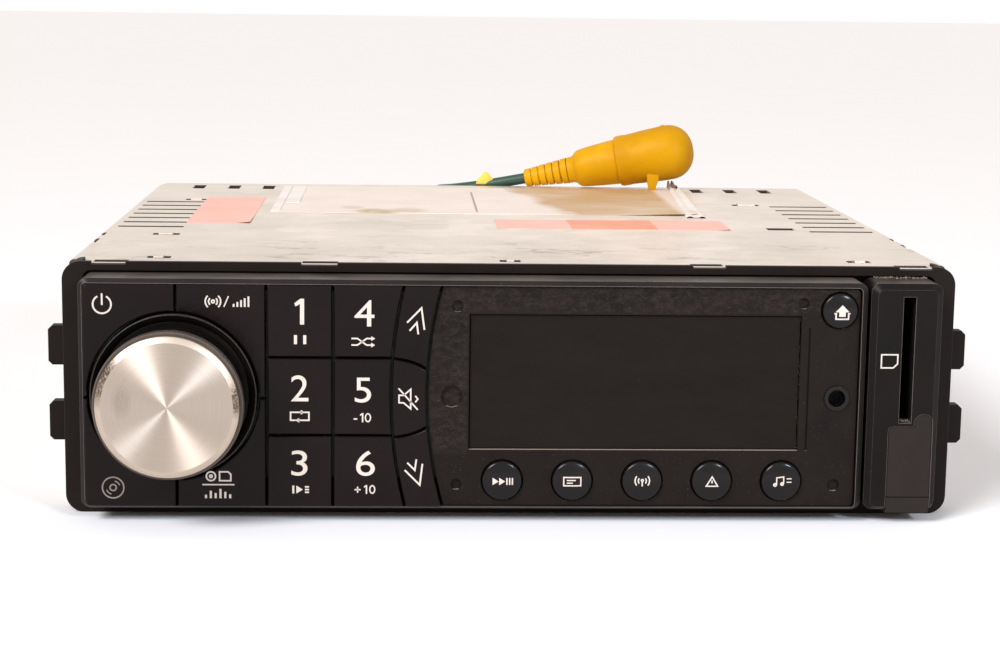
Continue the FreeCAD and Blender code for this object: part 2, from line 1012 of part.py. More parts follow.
def card_panel():
    """Fixed right-hand part of the nose with the card slot and the flap's recess."""
    body = nose_solid(card_left, card_right, wall_front)
    skin = key_face + card_wall
    hollow = box(
        card_left + card_wall,
        card_right - card_wall,
        skin,
        wall_front + over,
        nose_bottom + card_wall,
        nose_top - card_wall,
    )
    body = body.cut(hollow)
    backing = box(
        flap_left - backing_rim,
        card_right - bite,
        skin - card_wall / 2.0,
        skin + card_wall,
        nose_bottom + bite,
        thumb_top + backing_rim,
    )
    body = join([body, backing])
    slot = box(card_slot_left, card_slot_right, key_face - over, 0.0, card_slot_bottom, card_slot_top)
    recess = flap_outline(0.0, key_face - over, key_face + flap_sheet, nose_bottom - over)
    reader = reader_box(lap_gap)
    socket = socket_box(lap_gap)
    return body.cut(Part.makeCompound([slot, recess, reader, socket]))


def reader_box(gap):
    return box(
        card_slot_left - reader_wall - gap,
        card_slot_right + reader_wall + gap,
        key_face + card_wall + lap_gap - gap,
        key_face + card_wall + reader_depth,
        card_slot_bottom - reader_wall - gap,
        card_slot_top + reader_wall + gap,
    )


def socket_box(gap):
    return box(
        socket_x - socket_width / 2.0 - gap,
        socket_x + socket_width / 2.0 + gap,
        key_face + flap_sheet + lap_gap - gap,
        key_face + flap_sheet + socket_depth,
        socket_z - socket_height / 2.0 - gap,
        socket_z + socket_height / 2.0 + gap,
    )


def card_reader():
    """Folded metal cage behind the card slot."""
    cage = reader_box(0.0)
    end = key_face + card_wall + reader_depth - reader_wall
    room = box(card_slot_left, card_slot_right, key_face, end, card_slot_bottom, card_slot_top)
    return cage.cut(room)


def usb_socket():
    """Shell of the socket and the tongue inside it."""
    shell = socket_box(0.0)
    end = key_face + flap_sheet + socket_depth - socket_back_wall
    half_width = socket_width / 2.0 - socket_wall
    half_height = socket_height / 2.0 - socket_wall
    room = box(
        socket_x - half_width,
        socket_x + half_width,
        key_face,
        end,
        socket_z - half_height,
        socket_z + half_height,
    )
    tongue = box(
        socket_x,
        socket_x + tongue_sheet,
        key_face + flap_sheet + plug_length + tongue_set_back,
        end,
        socket_z - half_height + tongue_gap,
        socket_z + half_height - tongue_gap,
    )
    return group([shell.cut(room), tongue])


def usb_cover_root():
    """Fixed foot of the rubber cover, wrapped under the nose to the ring."""
    left = flap_left + flap_fit
    under = nose_bottom - flap_back_gap
    back = key_face + flap_sheet - flap_back_gap
    profile = (
        (left, key_face, fold_z - fold_gap),
        (left, key_face, nose_bottom),
        (left, key_face + root_slope, root_bottom),
        (left, -lap_gap, root_bottom),
        (left, -lap_gap, under),
        (left, back, under),
        (left, back, fold_z - fold_gap),
    )
    return polygon_solid(profile, (flap_right - flap_left - 2.0 * flap_fit, 0, 0))


def usb_cover():
    """Rubber flap with the plug that fills the socket's mouth."""
    back = key_face + flap_sheet - flap_back_gap
    flap = flap_outline(flap_fit, key_face, back, nose_bottom)
    left = flap_left - over
    right = flap_right + over
    flap = flap.cut(box(left, right, key_face - over, back + over, nose_bottom - over, fold_z))
    half_width = socket_width / 2.0 - socket_wall - plug_side_gap
    half_height = socket_height / 2.0 - socket_wall - plug_end_gap
    plug = box(
        socket_x - half_width,
        socket_x + half_width,
        back - flap_back_gap,
        key_face + flap_sheet + plug_length,
        socket_z - half_height,
        socket_z + half_height - plug_end_gap,
    )
    return join([flap, plug])


def main_board():
    """Board with the amplifier, capacitors, tuner can and chips soldered on."""
    board = box(
        -main_board_half,
        main_board_half,
        main_board_front,
        main_board_back,
        main_board_z,
        board_upper,
    )
    amp_left, amp_right = amp_sides()
    amp_front = rear_face - amp_depth
    amp = box(amp_left, amp_right, amp_front, rear_face, amp_foot, board_upper + amp_height)
    legs = box(
        amp_left + amp_leg_inset,
        amp_right - amp_leg_inset,
        amp_front,
        main_board_back,
        board_upper,
        amp_foot,
    )
    solids = [board, join([amp, legs]), box(*tuner_box, board_upper, board_upper + tuner_height)]
    for x, y in can_places:
        solids.append(prism((x, y, board_upper), (0, 0, can_height), can_radius, hidden_sides))
    for chip in chip_boxes:
        solids.append(box(*chip, board_upper, board_upper + chip_height))
    return group(solids)


def power_connector():
    """Rear block with two recesses, eight blades in each."""
    top = board_upper + plug_height
    back = rear_face + plug_outside
    floor = back - plug_recess
    block = box(plug_left, plug_right, rear_face - plug_inside, back, board_upper, top)
    middle = (plug_left + plug_right) / 2.0
    recesses = []
    blades = []
    for left, right in ((plug_left, middle), (middle, plug_right)):
        x0 = left + plug_wall
        x1 = right - plug_wall
        recesses.append(box(x0, x1, floor, back + over, board_upper + plug_wall, top - plug_wall))
        pitch = (x1 - x0) / blade_columns
        for column in range(blade_columns):
            x = x0 + pitch * (column + 0.5)
            for z in (board_upper + plug_height / 4.0, top - plug_height / 4.0):
                blades.append(
                    box(
                        x - blade_width / 2.0,
                        x + blade_width / 2.0,
                        floor - bite,
                        floor + blade_reach,
                        z - blade_sheet / 2.0,
                        z + blade_sheet / 2.0,
                    )
                )
    return join([block.cut(Part.makeCompound(recesses))] + blades)


def antenna_socket():
    """Soldered body and the round socket through the rear panel."""
    z = board_upper + aerial_side / 2.0
    inside = rear_face - tray_sheet - lap_gap
    half = aerial_side / 2.0
    left = aerial_x - half
    right = aerial_x + half
    top = board_upper + aerial_side
    body = box(left, right, inside - aerial_side, inside, board_upper, top)
    mouth = rear_face + aerial_out
    tube = rod_y(inside - bite, mouth, aerial_x, z, aerial_radius)
    bore = rod_y(mouth - aerial_bore_depth, mouth + over, aerial_x, z, aerial_bore)
    return join([body, tube]).cut(bore)


def cable_gland():
    """Square-necked grommet with a round flange and sleeve where the cable leaves."""
    inside = rear_face - tray_sheet
    outside = rear_face + gland_flange
    half = gland_neck / 2.0
    neck = box(gland_x - half, gland_x + half, inside, rear_face + bite, gland_z - half, gland_z + half)
    flange = prism((gland_x, rear_face, gland_z), (0, outside - rear_face, 0), gland_radius, plain_sides)
    sleeve = prism((gland_x, rear_face, gland_z), (0, gland_reach, 0), gland_sleeve, hidden_sides)
    return join([neck, flange, sleeve])


def rounded_path(points):
    """Straight runs joined by tangent arcs, each as large as its two runs allow."""
    corners = [V(*point) for point in points]
    edges = []
    last = corners[0]
    for before, corner, after in zip(corners, corners[1:], corners[2:]):
        incoming = corner - before
        outgoing = after - corner
        shorter = min(incoming.Length, outgoing.Length)
        reach = bend_share * shorter
        turn = incoming.getAngle(outgoing)
        start = corner - V(incoming).normalize() * reach
        end = corner + V(outgoing).normalize() * reach
        radius = reach / math.tan(turn / 2.0)
        bisector = ((start + end) * 0.5 - corner).normalize()
        centre_distance = math.hypot(radius, reach)
        middle = corner + bisector * (centre_distance - radius)
        print("cable run %.1f, turn %.0f deg, radius %.1f" % (incoming.Length, math.degrees(turn), radius))
        edges.append(Part.LineSegment(last, start).toShape())
        edges.append(Part.Arc(start, middle, end).toShape())
        last = end
    edges.append(Part.LineSegment(last, corners[-1]).toShape())
    return Part.Wire(edges)


def video_cable():
    """Cable from the gland over the rear edge to the line socket."""
    gland_end = (gland_x, rear_face + gland_reach, gland_z)
    path = rounded_path((gland_end,) + cable_route + (tail_point,))
    ring = []
    for corner in range(cable_sides):
        angle = 2.0 * math.pi * corner / cable_sides
        across = cable_radius * math.cos(angle)
        up = cable_radius * math.sin(angle)
        ring.append(V(gland_x + across, gland_end[1], gland_z + up))
    ring.append(ring[0])
    outline = Part.makePolygon(ring)
    tube = path.makePipeShell([outline], True, False)
    section = Part.Face(outline).Area
    print("cable length %.1f, volume %.1f of %.1f" % (path.Length, tube.Volume, section * path.Length))
    return tube


def line_socket():
    """Moulded socket, its slim tail swelling into the shell."""
    swell_end = relief_length + swell_length
    profile = (
        (relief_radius, 0.0),
        (relief_radius, relief_length),
        (shell_radius, swell_end),
        (shell_radius, shell_length),
    )
    return many_sided(profile, tail_point, plug_axis, plain_sides)


def dust_cap():
    """Rubber cap over the socket's mouth, its pull tab standing on the cover."""
    round_start = cap_length - cap_round
    profile = (
        (cap_radius, shell_length),
        (cap_radius, round_start),
        (cap_radius - cap_round, cap_length),
    )
    cap = many_sided(profile, tail_point, plug_axis, plain_sides)
    along = V(*plug_axis).normalize()
    centre = V(*tail_point) + along * ((tab_x - tail_point[0]) / along.x)
    half = tab_width / 2.0
    foot_half = tab_foot / 2.0
    shoulder = cover_top + tab_foot_height
    waist = centre.z - cap_radius / 2.0
    leaf = polygon_solid(
        (
            (tab_x - foot_half, tab_y, cover_top),
            (tab_x + foot_half, tab_y, cover_top),
            (tab_x + half, tab_y, shoulder),
            (tab_x + half, tab_y, waist),
            (tab_x - half, tab_y, waist),
            (tab_x - half, tab_y, shoulder),
        ),
        (0, tab_sheet, 0),
    )
    return join([cap, leaf])


def deck_frame():
    """Pressed deck carrier with ears, hinge lugs and the pressed-in guide rod."""
    half = deck_half_width
    inner = half - deck_sheet
    outside = box(-half, half, deck_front, deck_back, deck_floor, deck_wall_top)
    back = deck_back - deck_sheet
    inside = box(-inner, inner, deck_front - over, back, deck_plate_top, deck_wall_top + over)
    pieces = [outside.cut(inside)]
    barrel_end = arm_barrel_half + arm_side_gap
    bridge = barrel_end + arm_lug_sheet
    lug_front = arm_pivot_y - arm_lug_reach
    lug_high = arm_pivot_z + arm_lug_reach
    for side in (-1.0, 1.0):
        near, far = sorted((side * (half - deck_sheet / 2.0), side * ear_out))
        for y in damper_ys:
            front = y - ear_width / 2.0
            pieces.append(box(near, far, front, front + ear_width, ear_z, ear_z + deck_sheet))
        near, far = sorted((side * barrel_end, side * bridge))
        pieces.append(box(near, far, lug_front, back + bite, deck_wall_top - arm_lug_drop, lug_high))
    pieces.append(rod_x(-bridge, bridge, arm_pivot_y, arm_pivot_z, pin_radius))
    bracket = loading_motor_radius + motor_rim
    pieces.append(
        box(-half, -inner, pinion_y - bracket, pinion_y + bracket, pinion_z - bracket, deck_plate_top)
    )
    reach = rod_radius * 2.0
    low = rod_y_place - reach
    high = rod_y_place + reach
    pieces.append(box(rod_lug_x, rod_lug_end, low, high, deck_floor, rod_z_place + reach))
    pieces.append(rod_x(rod_lug_x, half, rod_y_place, rod_z_place, rod_radius))
    return join(pieces).cut(Part.makeCompound(deck_openings()))


def deck_openings():
    """Bearing slots, the window for the pinion's shaft and the openings of the deck plate."""
    half = deck_half_width
    inner = half - deck_sheet
    window = motor_shaft_radius + motor_window_gap
    room = loading_motor_radius + motor_rim / 2.0
    low = deck_floor - over
    high = deck_plate_top + over
    cuts = [
        bearing_slot(-half - over, -inner + over),
        bearing_slot(inner - over, half + over),
        box(
            -half - over,
            -inner + over,
            pinion_y - window,
            pinion_y + window,
            pinion_z - window,
            pinion_z + window,
        ),
        box(-inner, -inner + loading_motor_length + over, pinion_y - room, pinion_y + room, low, high),
    ]
    for x0, x1, y0, y1 in deck_windows:
        cuts.append(box(x0, x1, y0, y1, low, high))
    return cuts


def bearing_slot(x0, x1):
    """Slot with a round foot, open at the wall's top, in which the roller's shaft turns."""
    bearing = roller_shaft_radius + run_gap
    foot = rod_x(x0, x1, roller_y, roller_z, bearing)
    way = box(x0, x1, roller_y - bearing, roller_y + bearing, roller_z, deck_wall_top + over)
    return foot.fuse(way)


def deck_dampers():
    """Four rubber mounts between the tray's lugs and the deck's ears."""
    mounts = []
    for x in (-damper_x, damper_x):
        for y in damper_ys:
            mounts.append(prism((x, y, lug_top), (0, 0, damper_height), damper_radius, hidden_sides))
    return group(mounts)


def disc_guide():
    """Upper guide that presses the disc on the roller at its two edges."""
    half = deck_half_width
    high = deck_wall_top + guide_sheet
    plate = box(-half, half, deck_front, guide_back, deck_wall_top, high)
    notch = rod_z(deck_wall_top - over, high + over, 0.0, disc_y, guide_notch_radius)
    pieces = [plate.cut(notch)]
    low = disc_z + disc_sheet / 2.0 + guide_lift
    for side in (-1.0, 1.0):
        near, far = sorted((side * guide_rib_in, side * guide_rib_out))
        points = (
            (near, guide_rib_front, deck_wall_top + bite),
            (near, guide_rib_front + guide_rib_slope, low),
            (near, guide_rib_back - guide_rib_slope, low),
            (near, guide_rib_back, deck_wall_top + bite),
        )
        pieces.append(polygon_solid(points, (far - near, 0, 0)))
    return join(pieces)


def deck_motors():
    """Loading motor, disc motor and sled motor."""
    loading_start = (-deck_half_width + deck_sheet, pinion_y, pinion_z)
    low = deck_plate_top
    top = platter_top - platter_sheet - lap_gap
    sled_start = (rod_lug_end - sled_motor_length, screw_y, rod_z_place)
    sled_radius = rod_z_place - deck_plate_top
    return group(
        [
            prism(loading_start, (loading_motor_length, 0, 0), loading_motor_radius, hidden_sides),
            prism((0.0, disc_y, low), (0, 0, top - low), disc_motor_radius, 2 * hidden_sides),
            prism(sled_start, (sled_motor_length, 0, 0), sled_radius, hidden_sides),
        ]
    )


def spur_gear(teeth, x0, y, z, phase):
    """A spur gear about the X direction, with a tooth centred at the phase angle."""
    pitch = gear_module * teeth / 2.0
    tip = pitch + tooth_addendum * gear_module
    root = pitch - tooth_dedendum * gear_module
    share = 360.0 / teeth
    half_pitch = share * tooth_fill / 2.0
    half_tip = half_pitch * tooth_tip_share
    half_root = half_pitch * tooth_root_share
    points = []
    for tooth in range(teeth):
        centre = phase + tooth * share
        for radius, offset in (
            (root, -half_root),
            (tip, -half_tip),
            (tip, half_tip),
            (root, half_root),
        ):
            angle = math.radians(centre + offset)
            points.append((x0, y + radius * math.cos(angle), z + radius * math.sin(angle)))
    return polygon_solid(points, (gear_width, 0, 0))


def roller_gear():
    return spur_gear(gear_teeth, gear_left, roller_y, roller_z, mesh_angle)


def motor_pinion():
    """Pinion and its motor shaft, a gap between two teeth turned to the roller gear."""
    share = 360.0 / pinion_teeth
    pinion = spur_gear(pinion_teeth, gear_left, pinion_y, pinion_z, mesh_angle + 180.0 + share / 2.0)
    end = -deck_half_width + deck_sheet - run_gap
    return join([pinion, rod_x(gear_left, end, pinion_y, pinion_z, motor_shaft_radius)])


def loading_roller():
    """Steel shaft from the gear to the right-hand wall, with its rubber sleeve."""
    left = gear_left + gear_width
    right = deck_half_width + roller_shaft_end
    shaft = rod_x(left, right, roller_y, roller_z, roller_shaft_radius)
    sleeve = rod_x(-roller_half_length, roller_half_length, roller_y, roller_z, roller_radius)
    return join([shaft, sleeve])


def turntable():
    """Platter and centring hub on the disc motor."""
    foot = platter_top - platter_sheet
    platter = prism((0.0, disc_y, foot), (0, 0, platter_sheet), platter_radius, plain_sides)
    hub = rod_z(foot, hub_top, 0.0, disc_y, hub_radius)
    return join([platter, hub])


def clamp_arm():
    """Sprung arm over the disc, rolled round its pivot pin at the rear."""
    top = arm_bottom + arm_sheet
    shoulder = disc_y + arm_shoulder
    plate = polygon_solid(
        (
            (-arm_half_width, disc_y - arm_tip, arm_bottom),
            (arm_half_width, disc_y - arm_tip, arm_bottom),
            (arm_half_width, shoulder, arm_bottom),
            (arm_barrel_half, arm_pivot_y, arm_bottom),
            (-arm_barrel_half, arm_pivot_y, arm_bottom),
            (-arm_half_width, shoulder, arm_bottom),
        ),
        (0, 0, top - arm_bottom),
    )
    barrel = rod_x(-arm_barrel_half, arm_barrel_half, arm_pivot_y, arm_pivot_z, arm_barrel_radius)
    low = arm_bottom - over
    high = top + over
    end = arm_barrel_half + over
    slot_front = disc_y + arm_slot_front
    slot_back = arm_pivot_y - arm_slot_back
    cuts = [
        box(-arm_slot_half, arm_slot_half, slot_front, slot_back, low, high),
        rod_x(-end, end, arm_pivot_y, arm_pivot_z, pin_radius + pin_gap),
        rod_z(low, high, 0.0, disc_y, puck_pin_radius + puck_pin_gap),
    ]
    return join([plate, barrel]).cut(Part.makeCompound(cuts))


def clamp_puck():
    """Puck that grips the disc on the hub, hung from the arm by its headed pin."""
    head = arm_bottom + arm_sheet + puck_float
    plate = prism((0.0, disc_y, puck_bottom), (0, 0, puck_sheet), puck_radius, plain_sides)
    pin = rod_z(puck_bottom, head + bite, 0.0, disc_y, puck_pin_radius)
    cap = prism((0.0, disc_y, head), (0, 0, puck_head), puck_head_radius, hidden_sides)
    return join([plate, pin, cap])


def pickup_sled():
    """Sled on the guide rod, its fork round the lead screw and its lens beside the hub."""
    left = sled_left
    right = sled_left + sled_width
    body = box(left, right, sled_front, sled_back, sled_bottom, sled_top)
    lens_foot = ((left + right) / 2.0, disc_y, sled_top - bite)
    lens = prism(lens_foot, (0, 0, bite + lens_height), lens_radius, hidden_sides)
    relief_front = disc_y + lens_set_back
    relief_back = rod_y_place - rod_boss
    fork = rod_radius + run_gap
    cuts = [
        box(left - over, right + over, relief_front, relief_back, sled_top - sled_relief, sled_top + over),
        rod_x(left - over, right + over, rod_y_place, rod_z_place, rod_radius + run_gap),
        box(
            left - over,
            right + over,
            sled_front - over,
            screw_y + fork,
            rod_z_place - fork,
            rod_z_place + fork,
        ),
    ]
    return join([body, lens]).cut(Part.makeCompound(cuts))


def lead_screw():
    end = deck_half_width - deck_sheet
    return rod_x(rod_lug_end + run_gap, end - run_gap, screw_y, rod_z_place, rod_radius)


def panel_bezel():
    """Front moulding of the drop-down panel, a bevelled frame round keys and display."""
    body = nose_solid(nose_left, panel_right, -bezel_back)
    inner = rounded_slab(
        nose_left + bezel_wall,
        panel_right - bezel_wall,
        nose_bottom + bezel_wall,
        nose_top - bezel_wall,
        nose_corner - bezel_wall / 2.0,
        key_face + bezel_lip,
        0.0,
    )
    opening = rounded_slab(
        field_left, field_end, field_bottom, field_top, field_corner, key_face - over, 0.0
    )
    cuts = [inner, opening] + [hinge_notch(x) for x in hinge_xs]
    return body.cut(Part.makeCompound(cuts))


def panel_back():
    """Rear shell of the panel with board posts, hinge cheeks and pins."""
    front = -bezel_back
    plate = rounded_slab(nose_left, panel_right, nose_bottom, nose_top, nose_corner, front, panel_back_face)
    pieces = [plate.cut(Part.makeCompound([hinge_notch(x) for x in hinge_xs]))]
    foot = nose_bottom + bezel_wall + lap_gap
    head = hinge_z + cheek_top
    cheek_start = hinge_y - cheek_front
    half = lug_half_width + lug_side_gap
    end = half + cheek
    for x in hinge_xs:
        for near, far in ((x - end, x - half), (x + half, x + end)):
            pieces.append(box(near, far, cheek_start, front + bite, foot, head))
        pieces.append(rod_x(x - end, x + end, hinge_y, hinge_z, pin_radius))
    for x in post_places:
        left = x - post_half
        right = x + post_half
        for z in (board_bottom + post_inset, board_top - post_inset):
            pieces.append(box(left, right, board_back, front + bite, z - post_half, z + post_half))
    return join(pieces)


def panel_board(key_places):
    """Board behind the keys and a short one above the jack, with one small switch under each key."""
    jack_half = jack_side / 2.0 + lap_gap
    left = field_left + board_inset
    split = jack_x - jack_half
    right = field_right - board_inset
    solids = [
        box(left, split, board_front, board_back, board_bottom, board_top),
        box(split, right, board_front, board_back, jack_z + jack_half, board_top),
    ]
    half = switch_body / 2.0
    for x, z in key_places:
        solids.append(box(x - half, x + half, switch_face, board_front, z - half, z + half))
    return group(solids)


def display_region(inset, y0, y1):
    """The plate's outline, its left side on the long arc beside the keys."""
    slab = rounded_slab(
        arc_4_left - over,
        field_end - inset,
        field_bottom + inset,
        field_top - inset,
        field_corner,
        y0,
        y1,
    )
    disc = rod_y(y0, y1, arc_4_x, arc_z, arc_4_radius - key_gap / 2.0)
    right_half = box(0.0, ring_width, y0, y1, 0.0, ring_top)
    return slab.common(disc.fuse(right_half))


def display_plate():
    """Recessed plate with the window, the button holes and a few blind marks."""
    plate = display_region(plate_gap, plate_face, plate_back)
    high = field_top - plate_gap
    skirt_right = eject_x - skirt_end
    skirt = box(window_left, skirt_right, plate_back - skirt_sheet, board_front, high - skirt_sheet, high)
    front = plate_face - over
    through = (0, plate_sheet + 2.0 * over, 0)
    cuts = [
        box(window_left, window_right, front, plate_back + over, window_bottom, window_top),
        rod_y(front, plate_back + over, jack_x, jack_z, jack_radius + run_gap),
        prism((eject_x, front, eject_z), through, eject_radius + button_gap, plain_sides),
        box(
            step_line_x,
            step_line_x + step_line_width,
            front,
            plate_face + step_line_depth,
            window_bottom,
            step_line_top,
        ),
    ]
    for x in button_places():
        cuts.append(prism((x, front, button_z), through, button_radius + button_gap, plain_sides))
    high_marks = tuple((x, nose_top - drop, radius) for x, drop, radius in high_pin_marks)
    for x, z, radius in low_pin_marks + high_marks:
        cuts.append(prism((x, front, z), (0, over + pin_mark_depth, 0), radius, pin_mark_sides))
    return join([plate.cut(Part.makeCompound(cuts)), skirt])


def button_places():
    return [button_first_x + index * button_pitch for index in range(5)]


def display_module():
    """Display glass in the window and the metal frame that clamps it to the board."""
    face = plate_face + glass_recess
    back = face + glass_depth
    glass = box(
        window_left + glass_gap,
        window_right - glass_gap,
        face,
        back,
        window_bottom + glass_gap,
        window_top - glass_gap,
    )
    low = max(window_bottom - lcd_frame, button_z + button_radius + lcd_foot_gap)
    frame = box(
        window_left - lcd_frame,
        window_right + lcd_frame,
        board_front - lcd_frame_depth,
        board_front,
        low,
        window_top + lcd_frame,
    )
    return join([glass, frame])


def knob_surround():
    """Dished collar in which the knob's foot turns."""
    front = key_face - surround_proud
    floor = knob_travel + well_gap - knob_back
    bore = bush_radius + bush_room
    inner = surround_radius - surround_wall
    behind = floor + well_floor
    collar = prism((knob_x, front, knob_z), (0, board_front - front, 0), surround_radius, collar_sides)
    cuts = [
        prism((knob_x, front - over, knob_z), (0, floor - front + over, 0), well_radius, collar_sides),
        prism((knob_x, behind, knob_z), (0, board_front - behind + over, 0), inner, plain_sides),
        prism((knob_x, floor - over, knob_z), (0, behind - floor + 2.0 * over, 0), bore, plain_sides),
    ]
    return collar.cut(Part.makeCompound(cuts))


def aux_jack():
    """Small jack socket, its ring standing just proud of the plate."""
    mouth = plate_face - jack_proud
    bore_end = mouth + jack_bore_depth
    ring = rod_y(mouth, plate_back + bite, jack_x, jack_z, jack_radius)
    half = jack_side / 2.0
    left = jack_x - half
    right = jack_x + half
    front = plate_back + lap_gap
    body = box(left, right, front, bore_end + jack_floor, jack_z - half, jack_z + half)
    return join([ring, body]).cut(rod_y(mouth - over, bore_end, jack_x, jack_z, jack_bore))


def encoder():
    """Fixed body and bush of the rotary encoder."""
    half = encoder_side / 2.0
    front = board_front - encoder_depth
    body = box(knob_x - half, knob_x + half, front, board_front, knob_z - half, knob_z + half)
    bush = rod_y(bush_front, front + bite, knob_x, knob_z, bush_radius)
    bore_end = board_front - encoder_floor
    bore = rod_y(bush_front - over, bore_end, knob_x, knob_z, rotor_radius + run_gap)
    return join([body, bush]).cut(bore)


def d_shaft(y0, y1, radius, flat):
    """A round shaft with one flat, for the knob and the rotor it turns."""
    shaft = rod_y(y0, y1, knob_x, knob_z, radius)
    reach = radius + over
    away = box(knob_x - reach, knob_x + reach, y0 - over, y1 + over, knob_z + flat, knob_z + reach)
    return shaft.cut(away)


def encoder_rotor():
    """Rotor that the knob's flatted shaft turns and slides in."""
    front = bush_front - rotor_proud
    rotor = rod_y(front, rotor_end, knob_x, knob_z, rotor_radius)
    return rotor.cut(d_shaft(front - over, board_front, shaft_radius + run_gap, shaft_flat + run_gap))


def knob_body():
    """Grip cup with a web, a hub and the flatted shaft."""
    front = -knob_reach + face_height
    back = -knob_back
    web_back = front + knob_web
    hub_back = bush_front - rotor_proud - knob_travel - hub_gap
    hub = bush_radius + hub_wall
    profile = (
        (knob_radius, front),
        (knob_radius, back),
        (knob_radius - knob_wall, back),
        (knob_radius - knob_wall, web_back),
        (hub, web_back),
        (hub, hub_back),
    )
    cup = many_sided(profile, (knob_x, 0, knob_z), (0, 1, 0), collar_sides)
    shaft_end = rotor_end - knob_travel - shaft_run
    shaft = d_shaft(hub_back - over, shaft_end, shaft_radius, shaft_flat)
    return join([cup, shaft])


def knob_face():
    """Turned aluminium cap with a bevelled rim."""
    front = -knob_reach
    back = front + face_height
    profile = (
        (face_flat_radius, front),
        (face_radius, front + face_bevel),
        (face_radius, back),
    )
    return many_sided(profile, (knob_x, 0, knob_z), (0, 1, 0), collar_sides)


def key_field():
    return rounded_slab(
        field_left + field_gap,
        field_right,
        field_bottom + field_gap,
        field_top - field_gap,
        field_corner,
        key_face,
        key_face + key_depth,
    )


def key_cell(x0, x1, z0, z1):
    """A rectangular cell of the key field, drawn in by half a gap on each side."""
    inset = key_gap / 2.0
    cell = box(x0 + inset, x1 - inset, key_face, key_face + key_depth, z0 + inset, z1 - inset)
    return cell.common(key_field())


def key_disc(x, z, radius):
    return rod_y(key_face - over, key_face + key_depth + over, x, z, radius)


def key_caps():
    """The keys' caps by name, cut from the field by straight gaps and arcs."""
    inset = key_gap / 2.0
    collar = key_disc(knob_x, knob_z, surround_radius + key_gap)
    below = field_bottom - over
    above = field_top + over
    left = field_left - over
    caps = {
        "power_key": key_cell(left, knob_split_x, knob_split_z, above).cut(collar),
        "band_key": key_cell(knob_split_x, column_1, knob_split_z, above).cut(collar),
        "corner_cover": key_cell(left, knob_split_x, below, knob_split_z).cut(collar),
        "mode_key": key_cell(knob_split_x, column_1, below, knob_split_z).cut(collar),
    }
    outside_arc_3 = key_disc(arc_3_x, arc_z, arc_3_radius + inset)
    inside_arc_3 = key_disc(arc_3_x, arc_z, arc_3_radius - inset)
    outside_arc_4 = key_disc(arc_4_x, arc_z, arc_4_radius + inset)
    rows = ((row_1, above), (row_2, row_1), (below, row_2))
    for index, (low, high) in enumerate(rows):
        caps["key_%d" % (index + 1)] = key_cell(column_1, column_2, low, high)
        wide = key_cell(column_2, 0.0, low, high)
        caps["key_%d" % (index + 4)] = wide.cut(outside_arc_3)
    column = key_cell(column_2, 0.0, below, above).common(inside_arc_3).cut(outside_arc_4)
    upper_row = (row_arc_x, row_arc_mid - row_arc_rise)
    lower_row = (row_arc_x, row_arc_mid + row_arc_rise)
    back = key_face + key_depth
    top_half = box(column_2, 0.0, key_face, back, row_arc_mid, field_top)
    bottom_half = box(column_2, 0.0, key_face, back, 0.0, row_arc_mid)
    outer = row_arc_radius + inset
    inner = row_arc_radius - inset
    caps["track_up_key"] = column.common(top_half).cut(key_disc(*upper_row, outer))
    caps["track_down_key"] = column.common(bottom_half).cut(key_disc(*lower_row, outer))
    caps["mute_key"] = column.common(key_disc(*upper_row, inner)).common(key_disc(*lower_row, inner))
    return {name: cap.Solids[0] for name, cap in caps.items()}


def key_stem(y0, y1, x, z):
    """The post that presses the switch, cross-shaped in life and square here."""
    return box(x - stem_half, x + stem_half, y0, y1, z - stem_half, z + stem_half)


def finished_key(cap, end):
    """A cap with bevelled front edges and a stem behind its middle."""
    centre = cap.CenterOfMass
    bevelled = cap.makeChamfer(key_bevel, front_edges(cap, key_face))
    stem = key_stem(key_face + key_depth - bite, end, centre.x, centre.z)
    return join([bevelled, stem])


def round_button(x, z, radius):
    """A round button, its back just behind the plate, and a stem to its switch."""
    back = plate_back + button_tail
    front = plate_face - button_proud
    body = prism((x, front, z), (0, back - front, 0), radius, plain_sides)
    return join([body, key_stem(back - bite, stem_end, x, z)])


def main():
    save("chassis_tray", chassis_tray())
    save("top_cover", top_cover())
    save("rear_stud", rear_stud())
    save("heat_sink", heat_sink())
    save("front_frame", front_frame())
    save("slot_felts", slot_felts())
    save("card_panel", card_panel())
    save("card_reader", card_reader())
    save("usb_socket", usb_socket())
    save("usb_cover_root", usb_cover_root())
    save("usb_cover", usb_cover())
    save("main_board", main_board())
    save("power_connector", power_connector())
    save("antenna_socket", antenna_socket())
    save("cable_gland", cable_gland())
    save("video_cable", video_cable())
    save("line_socket", line_socket())
    save("dust_cap", dust_cap())
    save("deck_frame", deck_frame())
    save("deck_dampers", deck_dampers())
    save("disc_guide", disc_guide())
    save("deck_motors", deck_motors())
    save("motor_pinion", motor_pinion())
    save("loading_roller", loading_roller())
    save("roller_gear", roller_gear())
    save("turntable", turntable())
    save("clamp_arm", clamp_arm())
    save("clamp_puck", clamp_puck())
    save("pickup_sled", pickup_sled())
    save("lead_screw", lead_screw())
    save("panel_bezel", panel_bezel())
    save("panel_back", panel_back())
    save("display_plate", display_plate())
    save("display_module", display_module())
    save("knob_surround", knob_surround())
    save("aux_jack", aux_jack())
    save("encoder", encoder())
    save("encoder_rotor", encoder_rotor())
    save("knob_body", knob_body())
    save("knob_face", knob_face())
    places = []
    for name, cap in key_caps().items():
        if name == "corner_cover":
            save(name, finished_key(cap, board_front))
            continue
        places.append((cap.CenterOfMass.x, cap.CenterOfMass.z))
        save(name, finished_key(cap, stem_end))
    names = ("scan_button", "display_button", "station_button", "traffic_button", "program_button")
    for name, x in zip(names, button_places()):
        places.append((x, button_z))
        save(name, round_button(x, button_z, button_radius))
    places.append((eject_x, eject_z))
    save("eject_button", round_button(eject_x, eject_z, eject_radius))
    save("panel_board", panel_board(places))


main()
